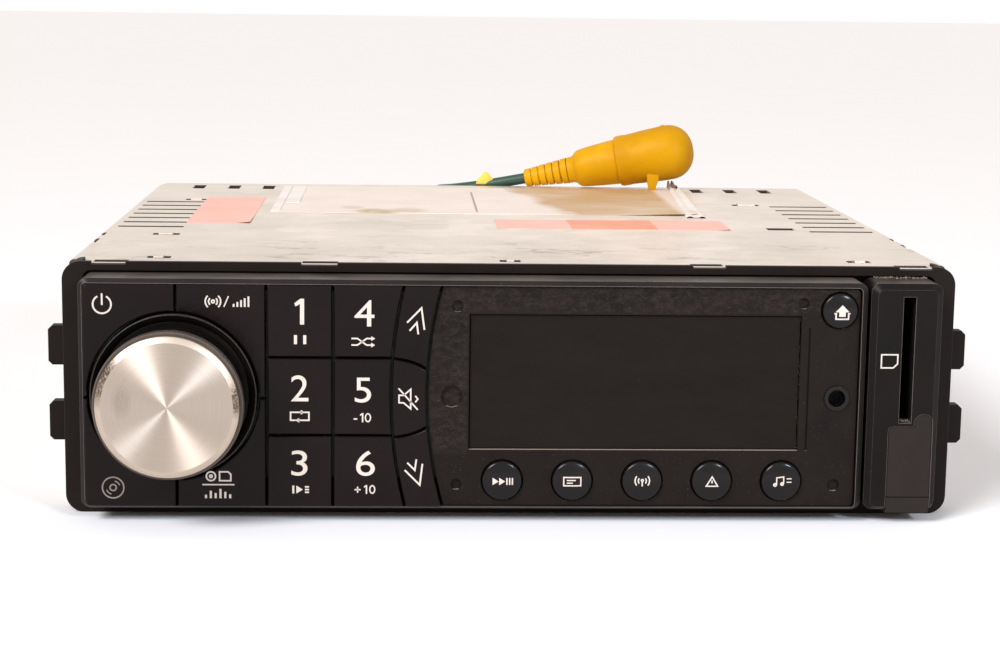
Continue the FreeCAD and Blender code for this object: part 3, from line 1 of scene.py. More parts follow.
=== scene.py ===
# %% [markdown]
# # Dressing a car CD player
# The construction of this player comes finished from CAD: sixty solids with their joints.
# Here it gets what CAD leaves out, which is finish, wear, print, paper labels, screws and
# soft round forms. Every length is in metres in the frame of the CAD model.

# %% Load the frame
import json
import math
import random

import bmesh
import bpy
from mathutils import Matrix, Vector

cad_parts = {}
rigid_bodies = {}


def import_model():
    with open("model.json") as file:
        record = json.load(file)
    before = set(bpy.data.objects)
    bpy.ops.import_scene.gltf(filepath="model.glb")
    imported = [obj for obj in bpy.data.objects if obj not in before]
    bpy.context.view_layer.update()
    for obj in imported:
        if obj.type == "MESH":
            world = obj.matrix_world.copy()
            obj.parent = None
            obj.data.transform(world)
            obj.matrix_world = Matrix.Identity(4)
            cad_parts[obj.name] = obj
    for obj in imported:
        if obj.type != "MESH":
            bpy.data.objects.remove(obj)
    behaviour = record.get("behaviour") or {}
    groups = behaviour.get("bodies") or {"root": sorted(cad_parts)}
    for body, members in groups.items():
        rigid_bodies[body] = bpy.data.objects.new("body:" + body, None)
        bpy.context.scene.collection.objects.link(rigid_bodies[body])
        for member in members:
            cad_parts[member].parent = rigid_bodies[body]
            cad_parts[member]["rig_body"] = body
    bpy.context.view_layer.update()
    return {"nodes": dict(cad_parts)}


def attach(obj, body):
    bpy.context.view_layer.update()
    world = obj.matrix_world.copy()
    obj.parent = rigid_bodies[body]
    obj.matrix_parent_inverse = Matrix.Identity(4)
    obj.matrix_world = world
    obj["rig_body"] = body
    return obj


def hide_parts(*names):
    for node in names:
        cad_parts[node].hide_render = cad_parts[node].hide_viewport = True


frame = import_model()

nodes = frame["nodes"]

# %% [markdown]
# ## One place for millimetres
# The player was drawn in millimetres from the dash plane, where the trim ring's front lies at
# y = 0. A small function turns such a place into the frame's metres, so that every number
# below can be read against a drawing of the player.

# %% From the dash plane to the frame
MM = 0.001
DASH_PLANE = 79.8
NOSE_FACE = -9.0
COVER_TOP = 50.5


def dash(x, y, z):
    """A place in millimetres from the dash plane, as a vector in metres."""
    return Vector((x, y - DASH_PLANE, z)) * MM


def turn(degrees, axis):
    """A rotation about one axis, as a 4 by 4 matrix."""
    return Matrix.Rotation(math.radians(degrees), 4, axis)


def in_scene(name, data):
    """A new object with this data, linked to the scene."""
    obj = bpy.data.objects.new(name, data)
    bpy.context.scene.collection.objects.link(obj)
    return obj


print("dash plane at y =", round(dash(0, 0, 0).y, 4))

# %% [markdown]
# ## Camera
# The picture was taken from a little above and left of the middle with a long lens. Lens and
# place were solved from the ring's corners, the ears and the lid's edges, so they are plain
# numbers. The picture is 1000 by 667.

# %% Camera
camera = in_scene("camera", bpy.data.cameras.new("camera"))
camera.data.sensor_width = 36.0
camera.data.lens = 75.99
camera.data.clip_start = 0.01
looking = turn(-2.71, "Z") @ turn(-9.46, "X") @ turn(-0.79, "Y") @ turn(90.0, "X")
camera.matrix_world = Matrix.Translation(dash(-22.2, -417.5, 106.6)) @ looking
bpy.context.scene.camera = camera
print("camera stands", round(camera.location.length, 3), "m from the origin")

# %% [markdown]
# ## The green lead
# A short lead leaves the rear panel, rises in a loose bend and comes over the rear edge of the
# lid, where it ends in a yellow line socket. A NURBS curve through few points gives the even
# bends that a real jacket has. Order and end points are set after the points are added.

# %% Route of the lead
LEAD_RADIUS = 1.5
GLAND_END = (-36.0, 175.6, 24.0)
SOCKET_TAIL = (12.0, 170.2, 52.6)
SOCKET_AXIS = Vector((0.966, -0.163, 0.200)).normalized()
LEAD_ROUTE = (
    GLAND_END,
    (-36.0, 190.0, 24.0),
    (-37.0, 207.0, 20.5),
    (-31.0, 224.0, 22.5),
    (-17.0, 230.0, 33.0),
    (-10.5, 214.0, 42.5),
    (-12.5, 195.0, 46.8),
    (-8.2, 176.8, 48.7),
    (1.95, 171.9, 50.52),
    SOCKET_TAIL,
)
lead_curve = bpy.data.curves.new("green_lead", "CURVE")
lead_curve.dimensions = "3D"
lead_line = lead_curve.splines.new("NURBS")
lead_line.points.add(len(LEAD_ROUTE) - 1)
for point, place_mm in zip(lead_line.points, LEAD_ROUTE):
    point.co = (*dash(*place_mm), 1.0)
lead_line.order_u = 3
lead_line.use_endpoint_u = True
lead_line.resolution_u = 10
lead_curve.bevel_depth = LEAD_RADIUS * MM
lead_curve.bevel_resolution = 5
lead_curve.use_fill_caps = True
green_lead = in_scene("green_lead", lead_curve)
print("lead has", len(lead_line.points), "points")

# %% [markdown]
# ## Colours and shader nodes
# Colours are written as sRGB hex, as a painter's chart gives them, and one function turns them
# linear. One more function adds a node with its settings and links, so that a material reads
# as a short list.

# %% Colour and node helpers
def colour(code):
    """Linear RGBA of an sRGB hex code."""
    linear = []
    for start in (1, 3, 5):
        value = int(code[start:start + 2], 16) / 255.0
        linear.append(value / 12.92 if value <= 0.04045 else ((value + 0.055) / 1.055) ** 2.4)
    return (*linear, 1.0)


def add(tree, kind, inputs=None, **settings):
    """Adds one node: settings are its own fields, inputs are socket values or links."""
    node = tree.nodes.new(kind)
    for key, value in settings.items():
        setattr(node, key, value)
    for socket, value in (inputs or {}).items():
        if isinstance(value, bpy.types.NodeSocket):
            tree.links.new(value, node.inputs[socket])
        else:
            node.inputs[socket].default_value = value
    return node


def per(size_mm):
    """Texture scale whose features are about that many millimetres across."""
    return 1.0 / (size_mm * MM)


print("half grey is", [round(c, 3) for c in colour("#808080")[:3]])

# %% [markdown]
# ## A frame for every material
# All materials share the same bones: a Principled shader with fixed specular values, object
# coordinates, and a bump. What differs is the colour pattern, the roughness pattern and the
# grain's size, so each cell below only states those. Edges get their rounding here too, by a
# normal that turns over a corner as a small radius would.

# %% Material bones
class Finish:
    """A material in the making, with its shader and its patterns on object coordinates."""

    def __init__(self, name, metallic=0.0, specular=0.5, anisotropic=0.0, sheen=0.0):
        self.material = bpy.data.materials.new(name)
        self.material.use_nodes = True
        self.tree = self.material.node_tree
        self.tree.nodes.clear()
        self.shader = self.add("ShaderNodeBsdfPrincipled", {
            "Metallic": metallic, "Specular IOR Level": specular,
            "Anisotropic": anisotropic, "Sheen Weight": sheen,
        })
        self.add("ShaderNodeOutputMaterial", {"Surface": self.shader.outputs[0]})
        self.where = self.add("ShaderNodeTexCoord").outputs["Object"]

    def add(self, kind, inputs=None, **settings):
        return add(self.tree, kind, inputs, **settings)

    def noise(self, size_mm, detail=3.0, rough=0.5, stretch=None):
        """Noise with features of a real size, stretched along an axis if asked."""
        where = self.where
        if stretch:
            where = self.add("ShaderNodeMapping", {"Vector": where, "Scale": stretch}).outputs[0]
        return self.add("ShaderNodeTexNoise", {
            "Vector": where, "Scale": per(size_mm), "Detail": detail, "Roughness": rough,
        }).outputs["Fac"]

    def axes(self, vector=None):
        """The X, Y and Z of a vector, or of the place itself."""
        return self.add("ShaderNodeSeparateXYZ", {"Vector": self.where if vector is None else vector}).outputs

    def facing(self):
        """The X, Y and Z of the way that the surface faces."""
        return self.axes(self.add("ShaderNodeTexCoord").outputs["Normal"])

    def ramp(self, value, low, high, to_low=0.0, to_high=1.0):
        """Maps a value from one range to another, clamped."""
        return self.add("ShaderNodeMapRange", {
            "Value": value, "From Min": low, "From Max": high, "To Min": to_low, "To Max": to_high,
        }).outputs[0]

    def both(self, first, second):
        """The share where two masks overlap."""
        return self.add("ShaderNodeMath", {0: first, 1: second}, operation="MULTIPLY").outputs[0]

    def blend(self, factor, first, second):
        """Mixes two colours; each is a hex code or a socket."""
        first = colour(first) if isinstance(first, str) else first
        second = colour(second) if isinstance(second, str) else second
        return self.add("ShaderNodeMix", {0: factor, 6: first, 7: second}, data_type="RGBA").outputs[2]

    def offset(self, spot_mm, weights=(1.0, 0.0, 1.0)):
        """Vector from a spot; a weight of 0 leaves that direction out."""
        apart = self.add("ShaderNodeVectorMath", {0: self.where, 1: dash(*spot_mm)}, operation="SUBTRACT").outputs[0]
        return self.add("ShaderNodeVectorMath", {0: apart, 1: weights}, operation="MULTIPLY").outputs[0]

    def length(self, vector):
        return self.add("ShaderNodeVectorMath", {0: vector}, operation="LENGTH").outputs["Value"]

    def near(self, spot_mm, reach_mm, soft_mm, weights):
        """1 within a reach of a spot, 0 outside it."""
        distance = self.length(self.offset(spot_mm, weights))
        return self.ramp(distance, (reach_mm + soft_mm) * MM, (reach_mm - soft_mm) * MM)

    def round_edge(self, radius_mm):
        """Normal that turns over corners as a radius of that many millimetres would."""
        return self.add("ShaderNodeBevel", {"Radius": radius_mm * MM}, samples=6).outputs[0]

    def corner_mask(self, radius_mm):
        """One on corners and zero on flat ground, from how far the rounded normal turns away."""
        flat = self.add("ShaderNodeNewGeometry").outputs["Normal"]
        agree = self.add("ShaderNodeVectorMath", {0: self.round_edge(radius_mm), 1: flat},
                         operation="DOT_PRODUCT")
        return self.ramp(agree.outputs["Value"], 0.97, 0.75)

    def bump(self, height, depth_mm, strength=1.0, edge_mm=0.15):
        """Normal from a height pattern of a real depth, over rounded corners."""
        inputs = {"Height": height, "Distance": depth_mm * MM, "Strength": strength}
        if edge_mm:
            inputs["Normal"] = self.round_edge(edge_mm)
        return self.add("ShaderNodeBump", inputs).outputs[0]

    def done(self, **sockets):
        """Links or sets the shader's sockets, written with underscores."""
        for name, value in sockets.items():
            socket = self.shader.inputs[name.replace("_", " ")]
            if isinstance(value, bpy.types.NodeSocket):
                self.tree.links.new(value, socket)
            else:
                socket.default_value = value
        return self.material


print("material bones ready")

# %% [markdown]
# ## Galvanised steel sheet
# The lid and the tray are folded from hot-dip galvanised sheet. Zinc gives a warm beige grey
# with soft spangle about 7 mm across, fine rolling lines from front to rear, dull smears, and
# thin scribbled scratches near the front from sliding in and out of a dash. Towards both
# sides the sheet is painted darker, a painted shade for the falloff of its sheen. Inside the
# slots, where the sheet is cut and the zinc is sheared away, the walls that face the front are
# painted dark: partly the bare steel edge, partly painted shade inside the slots.

# %% Galvanised sheet
SPANGLE = 7.0
SIDE_SHADE_FROM = 50.0
SHEET_HALF = 84.0
SCRIBBLE_FADE = 12.0


def galvanised(name, clean, dull_and_side_shade, dark, scribble_to):
    """Zinc-coated sheet; scribble_to is how far back the scratches reach."""
    sheet = Finish(name)
    x, y, z = sheet.axes()
    spangle = sheet.add("ShaderNodeTexVoronoi", {"Vector": sheet.where, "Scale": per(SPANGLE)})
    smear = sheet.noise(34.0, 4.0, 0.6)
    rolled = sheet.noise(0.9, 2.0, 0.5, (1.0, 0.03, 1.0))
    scuff = sheet.noise(5.0, 6.0, 0.72, (1.0, 0.45, 1.0))
    tone = sheet.blend(sheet.ramp(smear, 0.38, 0.66), clean, dull_and_side_shade)
    tone = sheet.blend(sheet.ramp(spangle.outputs["Color"], 0.1, 0.9, 0.0, 0.16), tone, dark)
    tone = sheet.blend(sheet.ramp(scuff, 0.64, 0.74, 0.0, 0.22), tone, dark)
    wander = sheet.noise(13.0, 3.5, 0.6, (0.45, 1.0, 1.0))
    wander = sheet.add("ShaderNodeMath", {0: wander, 1: 0.5}, operation="SUBTRACT").outputs[0]
    wander = sheet.add("ShaderNodeMath", {0: wander}, operation="ABSOLUTE").outputs[0]
    fade_from = (scribble_to - SCRIBBLE_FADE - DASH_PLANE) * MM
    near_front = sheet.ramp(y, fade_from, (scribble_to - DASH_PLANE) * MM, 0.45, 0.0)
    line = sheet.both(sheet.ramp(wander, 0.02, 0.004), near_front)
    line = sheet.both(line, sheet.ramp(sheet.noise(17.0, 3.0), 0.46, 0.58))
    tone = sheet.blend(line, tone, "#7c6d5f")
    # Painted shade: the sheet darkens towards both sides, standing in for the falloff of its sheen.
    aside = sheet.add("ShaderNodeMath", {0: x}, operation="ABSOLUTE").outputs[0]
    tone = sheet.blend(sheet.ramp(aside, SIDE_SHADE_FROM * MM, SHEET_HALF * MM, 0.0, 0.5), tone, dull_and_side_shade)
    # Painted shade: walls below the top that face the front, as inside the slots, go dark; partly bare cut steel,
    # partly the slots' shade.
    in_sheet = sheet.ramp(z, (COVER_TOP + 0.1) * MM, COVER_TOP * MM)
    cut_edge_and_slot_shade = sheet.both(sheet.ramp(sheet.facing()["Y"], -0.6, -0.9), in_sheet)
    tone = sheet.blend(cut_edge_and_slot_shade, tone, "#3a322b")
    return sheet.done(
        Base_Color=tone, Roughness=sheet.ramp(rolled, 0.3, 0.7, 0.37, 0.44),
        Metallic=sheet.ramp(cut_edge_and_slot_shade, 0.0, 1.0, 0.82, 0.1), Normal=sheet.bump(rolled, 0.01, 0.15, 0.3))


lid_sheet = galvanised("galvanised_sheet_lid", "#efdfd1", "#d9c9b9", "#8d7f72", 45.0)
tray_sheet = galvanised("galvanised_sheet_tray", "#d5cabd", "#b5a99c", "#7b7067", 20.0)
print("galvanised sheets:", lid_sheet.name, tray_sheet.name)

# %% [markdown]
# ## Small metals
# Screws and the stud are zinc-plated steel, the heat sink is black anodised aluminium as it
# comes from the extruder, and the sled is a bead-blasted zinc casting. One function makes them
# all, because only colour, roughness and grain direction differ.

# %% Small metals
def plain_metal(name, bright, worn, rough, grain_mm, stretch=None):
    metal = Finish(name, metallic=1.0)
    cloud = metal.noise(9.0, 3.0)
    grain = metal.noise(grain_mm, 3.0, 0.6, stretch)
    return metal.done(
        Base_Color=metal.blend(metal.ramp(cloud, 0.35, 0.7), bright, worn),
        Roughness=metal.ramp(grain, 0.3, 0.7, rough - 0.06, rough + 0.08), Normal=metal.bump(grain, 0.015, 0.5))


plated_steel = plain_metal("zinc_plated_steel", "#cfc8bd", "#a79f94", 0.3, 0.5)
black_anodised = plain_metal("black_anodised_extrusion", "#3a3734", "#4b4743", 0.42, 0.6, (1.0, 0.05, 1.0))
cast_zinc = plain_metal("blasted_zinc_casting", "#a8a7a4", "#8f8d89", 0.5, 0.3)
nickel = plain_metal("nickel_plated_brass", "#c9c0b0", "#b0a692", 0.22, 0.8)
print("small metals: 4")

# %% [markdown]
# ## Black mouldings
# The front is ABS in several finishes. The ring is textured by the mould, the bezel is
# polished and then dulled by hands, and the keys are lacquered. Warm household light turns
# all blacks brownish. Dust settles on what faces up, so it is added by the object normal's
# height and broken up by noise. Corners are painted paler, partly as rubbed wear and partly
# as a painted highlight on the rounded edges.

# %% Black mouldings
def black_abs(name, deep, haze, rough, spread, grain_mm, grain_depth, dust=0.1, specular=0.16, worn=0.35):
    """Moulded ABS; dust is how much lies on it and worn how far its corners are lightened, as rubbed wear and as a
    painted edge highlight.
    """
    abs_plastic = Finish(name, specular=specular)
    blend, ramp = abs_plastic.blend, abs_plastic.ramp
    upward = abs_plastic.facing()["Z"]
    cloud = abs_plastic.noise(16.0, 5.0, 0.62)
    speck = abs_plastic.noise(0.3, 2.0, 0.6)
    grain = abs_plastic.noise(grain_mm, 2.0, 0.5)
    tone = blend(ramp(cloud, 0.36, 0.72), deep, haze)
    tone = blend(ramp(speck, 0.70, 0.76, 0.0, dust), tone, "#7c6f63")
    settled = abs_plastic.both(ramp(upward, 0.85, 1.0, 0.0, dust), ramp(cloud, 0.3, 0.7, 0.4, 1.2))
    tone = blend(settled, tone, "#6d6259")
    # Corners paler: partly rubbed wear, partly a painted highlight on the rounded edges; worn sets how much.
    tone = blend(abs_plastic.both(abs_plastic.corner_mask(0.2), worn), tone, "#a89b92")
    return abs_plastic.done(
        Base_Color=tone, Roughness=ramp(cloud, 0.3, 0.7, rough, rough + spread),
        Normal=abs_plastic.bump(grain, grain_depth, 0.6))


# The last number, worn, is how far corners are lightened, by wear and by a painted edge highlight.
ring_abs = black_abs("textured_abs_ring", "#18110d", "#1e1612", 0.50, 0.12, 0.35, 0.03, 0.0, 0.12, 0.15)
bezel_abs = black_abs("polished_abs_bezel", "#15100d", "#1e1714", 0.32, 0.14, 0.9, 0.006, 0.55, 0.2, 0.7)
key_abs = black_abs("lacquered_abs_keys", "#140d0c", "#191110", 0.18, 0.12, 2.4, 0.006, 0.06, 0.12, 0.3)
button_abs = black_abs("lacquered_abs_buttons", "#0c0807", "#100b09", 0.14, 0.10, 2.4, 0.004, 0.04, 0.26, 0.1)
card_abs = black_abs("polished_abs_card_end", "#0f0b09", "#15100d", 0.30, 0.16, 0.9, 0.006, 0.3, 0.12, 0.8)
inner_abs = black_abs("plain_abs_inside", "#1c1815", "#221e1b", 0.5, 0.1, 0.5, 0.02, 0.1, 0.2, 0.2)
knurl_abs = black_abs("rubbed_abs_knurl", "#463c34", "#5a4e44", 0.34, 0.1, 0.4, 0.01, 0.2, 0.4, 0.6)
print("black mouldings: 7")

# %% [markdown]
# ## The display plate and its film
# The plate behind the keys is matt and has lost its clear cover. A band of dried adhesive runs
# along the top and the left side of the window, greyer than the rest and scratched across.
# The band is a mask on object coordinates, so it stays where the glue was. In the window lies
# the display's dark polariser film, smooth and with faint wipe marks.

# %% Display plate and film
WINDOW_LEFT = -8.8
WINDOW_TOP = 42.1
GLUE_FOOT = 15.0


def plate_material():
    plate = Finish("matt_abs_plate_with_glue", specular=0.1)
    x, _, z = plate.axes()
    top_band = plate.ramp(z, WINDOW_TOP * MM, (WINDOW_TOP + 0.9) * MM)
    left_band = plate.ramp(x, WINDOW_LEFT * MM, (WINDOW_LEFT - 0.7) * MM)
    band = plate.add("ShaderNodeMath", {0: top_band, 1: left_band}, operation="MAXIMUM").outputs[0]
    band = plate.both(band, plate.ramp(z, (GLUE_FOOT - 1.5) * MM, GLUE_FOOT * MM))
    scratch = plate.noise(0.9, 7.0, 0.8, (0.6, 1.0, 1.0))
    smear = plate.noise(11.0, 5.0, 0.65)
    speck = plate.noise(0.3, 2.0, 0.6)
    tone = plate.blend(plate.ramp(smear, 0.35, 0.7), "#17110e", "#1e1713")
    tone = plate.blend(plate.both(plate.ramp(scratch, 0.44, 0.68, 0.0, 0.6), band), tone, "#3a322d")
    tone = plate.blend(plate.ramp(speck, 0.70, 0.76, 0.0, 0.35), tone, "#8b7d70")
    # Painted highlight: faces that look up, as the window's lower ledge, are painted pale.
    tone = plate.blend(plate.ramp(plate.facing()["Z"], 0.9, 1.0, 0.0, 0.85), tone, "#b3a596")
    return plate.done(Base_Color=tone, Roughness=plate.ramp(smear, 0.3, 0.7, 0.45, 0.62),
                      Normal=plate.bump(scratch, 0.02, 0.5))


def film_material():
    film = Finish("dark_polariser_film", specular=0.1)
    wipe = film.noise(9.0, 5.0, 0.7, (0.5, 1.0, 1.6))
    fine = film.noise(1.1, 4.0, 0.7)
    tone = film.blend(film.ramp(wipe, 0.35, 0.7), "#17110d", "#1c1511")
    tone = film.blend(film.ramp(fine, 0.70, 0.80, 0.0, 0.2), tone, "#6d5f54")
    return film.done(Base_Color=tone, Roughness=film.ramp(wipe, 0.3, 0.7, 0.24, 0.42),
                     Normal=film.bump(wipe, 0.01, 0.3))


plate_abs = plate_material()
display_film = film_material()
print("display:", plate_abs.name, display_film.name)

# %% [markdown]
# ## Spun aluminium
# The knob's cap is turned on a lathe and left with its tool marks, which run in circles. Such
# a face throws light along spokes that follow the lamps. The shader does the same when it is
# rougher along the radius than round it, so its tangent points away from the knob's axis. The
# tool's pitch is about 0.1 mm; it is drawn at 0.25 mm so that it shows. Fingers have rubbed
# the cap's edge dark in three places and left a small brown patch on its face.

# %% Spun aluminium
KNOB_X = -66.8
KNOB_Z = 25.6
TOOL_PITCH = 0.25


def spun_material(name, bright, worn, rough, anisotropic, rubbed):
    """Lathe-turned metal; rubbed rows hold x, z, reach in millimetres and an amount."""
    spun = Finish(name, metallic=1.0, anisotropic=anisotropic)
    outward = spun.offset((KNOB_X, 0.0, KNOB_Z))
    tangent = spun.add("ShaderNodeVectorMath", {0: outward}, operation="NORMALIZE").outputs[0]
    rings = spun.add("ShaderNodeTexNoise", {
        "W": spun.length(outward), "Scale": per(TOOL_PITCH), "Detail": 2.0,
    }, noise_dimensions="1D").outputs["Fac"]
    stain = spun.noise(5.0, 4.0, 0.6)
    pits = spun.noise(0.35, 3.0, 0.6)
    tone = spun.blend(spun.ramp(rings, 0.35, 0.65, 0.0, 0.25), bright, worn)
    tone = spun.blend(spun.ramp(stain, 0.62, 0.75, 0.0, 0.25), tone, "#a08f80")
    tone = spun.blend(spun.ramp(pits, 0.68, 0.72, 0.0, 0.35), tone, "#6d5a4a")
    for x, z, reach, amount in rubbed:
        share = spun.both(spun.near((x, 0.0, z), reach, 0.4 * reach, (1.0, 0.0, 0.6)), amount)
        tone = spun.blend(spun.both(share, spun.ramp(pits, 0.35, 0.55, 0.3, 1.0)), tone, "#4e3d30")
    return spun.done(
        Base_Color=tone, Roughness=spun.ramp(rings, 0.3, 0.7, rough, rough + 0.08),
        Tangent=tangent, Normal=spun.bump(rings, 0.002, 0.2, 0))


FACE_PATCH = ((-75.4, 26.8, 1.6, 0.22),)
EDGE_PATCHES = ((-79.2, 31.0, 2.6, 0.9), (-77.8, 33.6, 1.6, 0.8), (-53.4, 27.2, 1.7, 0.9))
spun_aluminium = spun_material("spun_aluminium_cap", "#cfc0b1", "#c1b1a1", 0.46, 0.95, FACE_PATCH)
cap_edge = spun_material("diamond_cut_cap_edge", "#c9b9a8", "#b7a592", 0.38, 0.2, EDGE_PATCHES)
print("spun aluminium:", spun_aluminium.name)

# %% [markdown]
# ## Rubber, jacket and gear plastics
# The side cover is soft black rubber, the line socket and its cap are yellow PVC that hands
# have browned in the hollows, and the lead's jacket is dark green PVC. Gears are natural
# acetal and the disc parts black polycarbonate.

# %% Rubber and soft plastics
def soft_plastic(name, base, shade, rough, mottle_mm, grain_mm, depth_mm, specular=0.35, share=0.5):
    plastic = Finish(name, specular=specular)
    mottle = plastic.noise(mottle_mm, 5.0, 0.6)
    grain = plastic.noise(grain_mm, 3.0, 0.6)
    return plastic.done(
        Base_Color=plastic.blend(plastic.ramp(mottle, 0.42, 0.72, 0.0, share), base, shade),
        Roughness=plastic.ramp(mottle, 0.3, 0.7, rough, rough + 0.12),
        Normal=plastic.bump(grain, depth_mm, 0.6))


side_rubber = soft_plastic("soft_black_rubber", "#231c19", "#2c2420", 0.55, 5.0, 0.3, 0.02, 0.16)
yellow_pvc = soft_plastic("yellow_pvc_socket", "#d39b02", "#bd7e03", 0.4, 9.0, 1.2, 0.02, 0.12, 0.6)
yellow_cap = soft_plastic("yellow_pvc_cap", "#cb9303", "#b37803", 0.42, 12.0, 1.2, 0.03, 0.12, 0.55)
green_jacket = soft_plastic("green_pvc_jacket", "#2e4a3a", "#22372b", 0.38, 6.0, 0.8, 0.01)
white_acetal = soft_plastic("natural_acetal", "#e9e4d8", "#d6cfc0", 0.4, 6.0, 0.6, 0.01)
disc_plastic = soft_plastic("black_polycarbonate", "#1c1a19", "#252322", 0.35, 6.0, 0.6, 0.01)
connector_pbt = soft_plastic("black_pbt_connector", "#141210", "#1d1a18", 0.5, 6.0, 0.5, 0.02, 0.15)
gland_rubber = soft_plastic("black_rubber_gland", "#211e1c", "#2f2b28", 0.6, 4.0, 0.4, 0.02)
dust_grey = soft_plastic("grey_brown_house_dust", "#a3927c", "#7d6d5a", 0.9, 1.0, 0.2, 0.02, 0.1)
paper_tag = soft_plastic("pale_yellow_tape", "#ecd257", "#d3b63c", 0.5, 3.0, 0.4, 0.02)
print("soft plastics: 10")

# %% [markdown]
# ## Felt, board and print
# Felt strips guard the disc slot. The boards are glass laminate under green solder mask with
# tracks below the mask. Legends are warm white screen print, a little thin where fingers rub.

# %% Felt, board, print
def felt_material():
    felt = Finish("black_wool_felt", specular=0.1, sheen=0.4)
    pile = felt.noise(0.25, 4.0, 0.8)
    return felt.done(Base_Color=felt.blend(pile, "#141211", "#2c2826"), Roughness=0.95,
                     Normal=felt.bump(pile, 0.15, 0.9))


def board_material():
    board = Finish("solder_masked_laminate", specular=0.45)
    tracks = board.add("ShaderNodeTexBrick", {
        "Vector": board.where, "Scale": per(9.0), "Color1": colour("#24573a"), "Color2": colour("#2a6343"),
        "Mortar": colour("#1a4229"), "Mortar Size": 0.06,
    })
    cloud = board.ramp(board.noise(8.0), 0.3, 0.7, 0.0, 0.4)
    return board.done(Base_Color=board.blend(cloud, tracks.outputs["Color"], "#1f4f34"), Roughness=0.4,
                      Normal=board.bump(tracks.outputs["Fac"], 0.03, 0.5))


def print_material(name, base, worn, share):
    ink = Finish(name, specular=0.3)
    rub = ink.noise(0.9, 3.0, 0.6)
    return ink.done(Base_Color=ink.blend(ink.ramp(rub, 0.55, 0.75, 0.0, share), base, worn), Roughness=0.5,
                    Normal=ink.bump(rub, 0.004, 0.4, 0))


black_felt = felt_material()
green_board = board_material()
white_print = print_material("warm_white_screen_print", "#d6c9bc", "#b8ab9e", 0.5)
grey_print = print_material("worn_grey_screen_print", "#8d8379", "#5e564f", 0.6)
print("felt, board and print: 4")

# %% [markdown]
# ## Label papers
# The labels on the lid are coated paper, yellowed and rubbed. The largest has a brown stain
# at its right, ragged on its left side, and three smaller marks of old glue.

# %% Label papers
# Rows hold a place on the lid, a reach in millimetres and a strength.
GLUE_MARKS = (
    ((-28.5, 98.5, 50.6), 4.6, 0.9),
    ((-20.5, 103.0, 50.6), 4.2, 0.6),
    ((-34.5, 108.0, 50.6), 2.6, 0.4),
)
STAIN_FROM = 19.0
STAIN_TO = 45.5


def stained(paper, tone):
    """The large label's tone with its stain and marks."""
    x, y, _ = paper.axes()
    ragged = paper.noise(15.0, 4.0, 0.6)
    slant = paper.add("ShaderNodeMath", {0: y, 1: 0.16, 2: x}, operation="MULTIPLY_ADD").outputs[0]
    edge = paper.add("ShaderNodeMath", {0: ragged, 1: 0.014, 2: slant}, operation="MULTIPLY_ADD").outputs[0]
    across = paper.ramp(edge, (STAIN_FROM + 6.0) * MM, (STAIN_FROM + 11.0) * MM)
    blot = paper.ramp(paper.noise(22.0, 5.0, 0.55, (0.8, 1.0, 1.0)), 0.30, 0.62, 0.55, 1.0)
    rubbed_off = paper.ramp(x, STAIN_TO * MM, (STAIN_TO + 2.0) * MM, 1.0, 0.15)
    blot = paper.both(paper.both(across, blot), rubbed_off)
    tone = paper.blend(blot, tone, "#bd9662")
    for spot, reach, share in GLUE_MARKS:
        inside = paper.near(spot, reach, 0.35 * reach, (1.0, 0.75, 0.0))
        tone = paper.blend(paper.both(inside, paper.ramp(ragged, 0.35, 0.6, 0.25, share)), tone, "#b69a70")
    return tone


def paper_material(name, base, aged, with_stain=False):
    paper = Finish(name, specular=0.25)
    fibre = paper.noise(0.5, 3.0, 0.7)
    tone = paper.blend(paper.ramp(paper.noise(14.0, 5.0, 0.6), 0.35, 0.7), base, aged)
    if with_stain:
        tone = stained(paper, tone)
    return paper.done(Base_Color=tone, Roughness=paper.ramp(fibre, 0.3, 0.7, 0.45, 0.62),
                      Normal=paper.bump(fibre, 0.01, 0.4, 0))


pink_paper = paper_material("pink_coated_paper", "#f4bfae", "#f0b2a0")
pale_paper = paper_material("stained_cream_paper", "#ecdccf", "#e3d4c6", True)
orange_paper = paper_material("orange_coated_paper", "#eaa486", "#e49372")
tape_film = paper_material("clear_aged_tape", "#efe6dd", "#e2d8cd")
brown_paper = paper_material("browned_paper_tip", "#8f7c6a", "#7a6655")
# Painted shade: a grey paper for the strip that stands in for the shade of the label's crease.
crease_shade_grey = paper_material("painted_crease_shade_paper", "#9c8d80", "#b3a496")
print("papers: 6")

# %% [markdown]
# ## Giving CAD nodes their finish
# A node whose shape is right keeps its own mesh and only gets a material. This list pairs the
# finishes with the nodes that wear them; nodes that get a finer stand-in below are dressed as
# well, which does no harm.

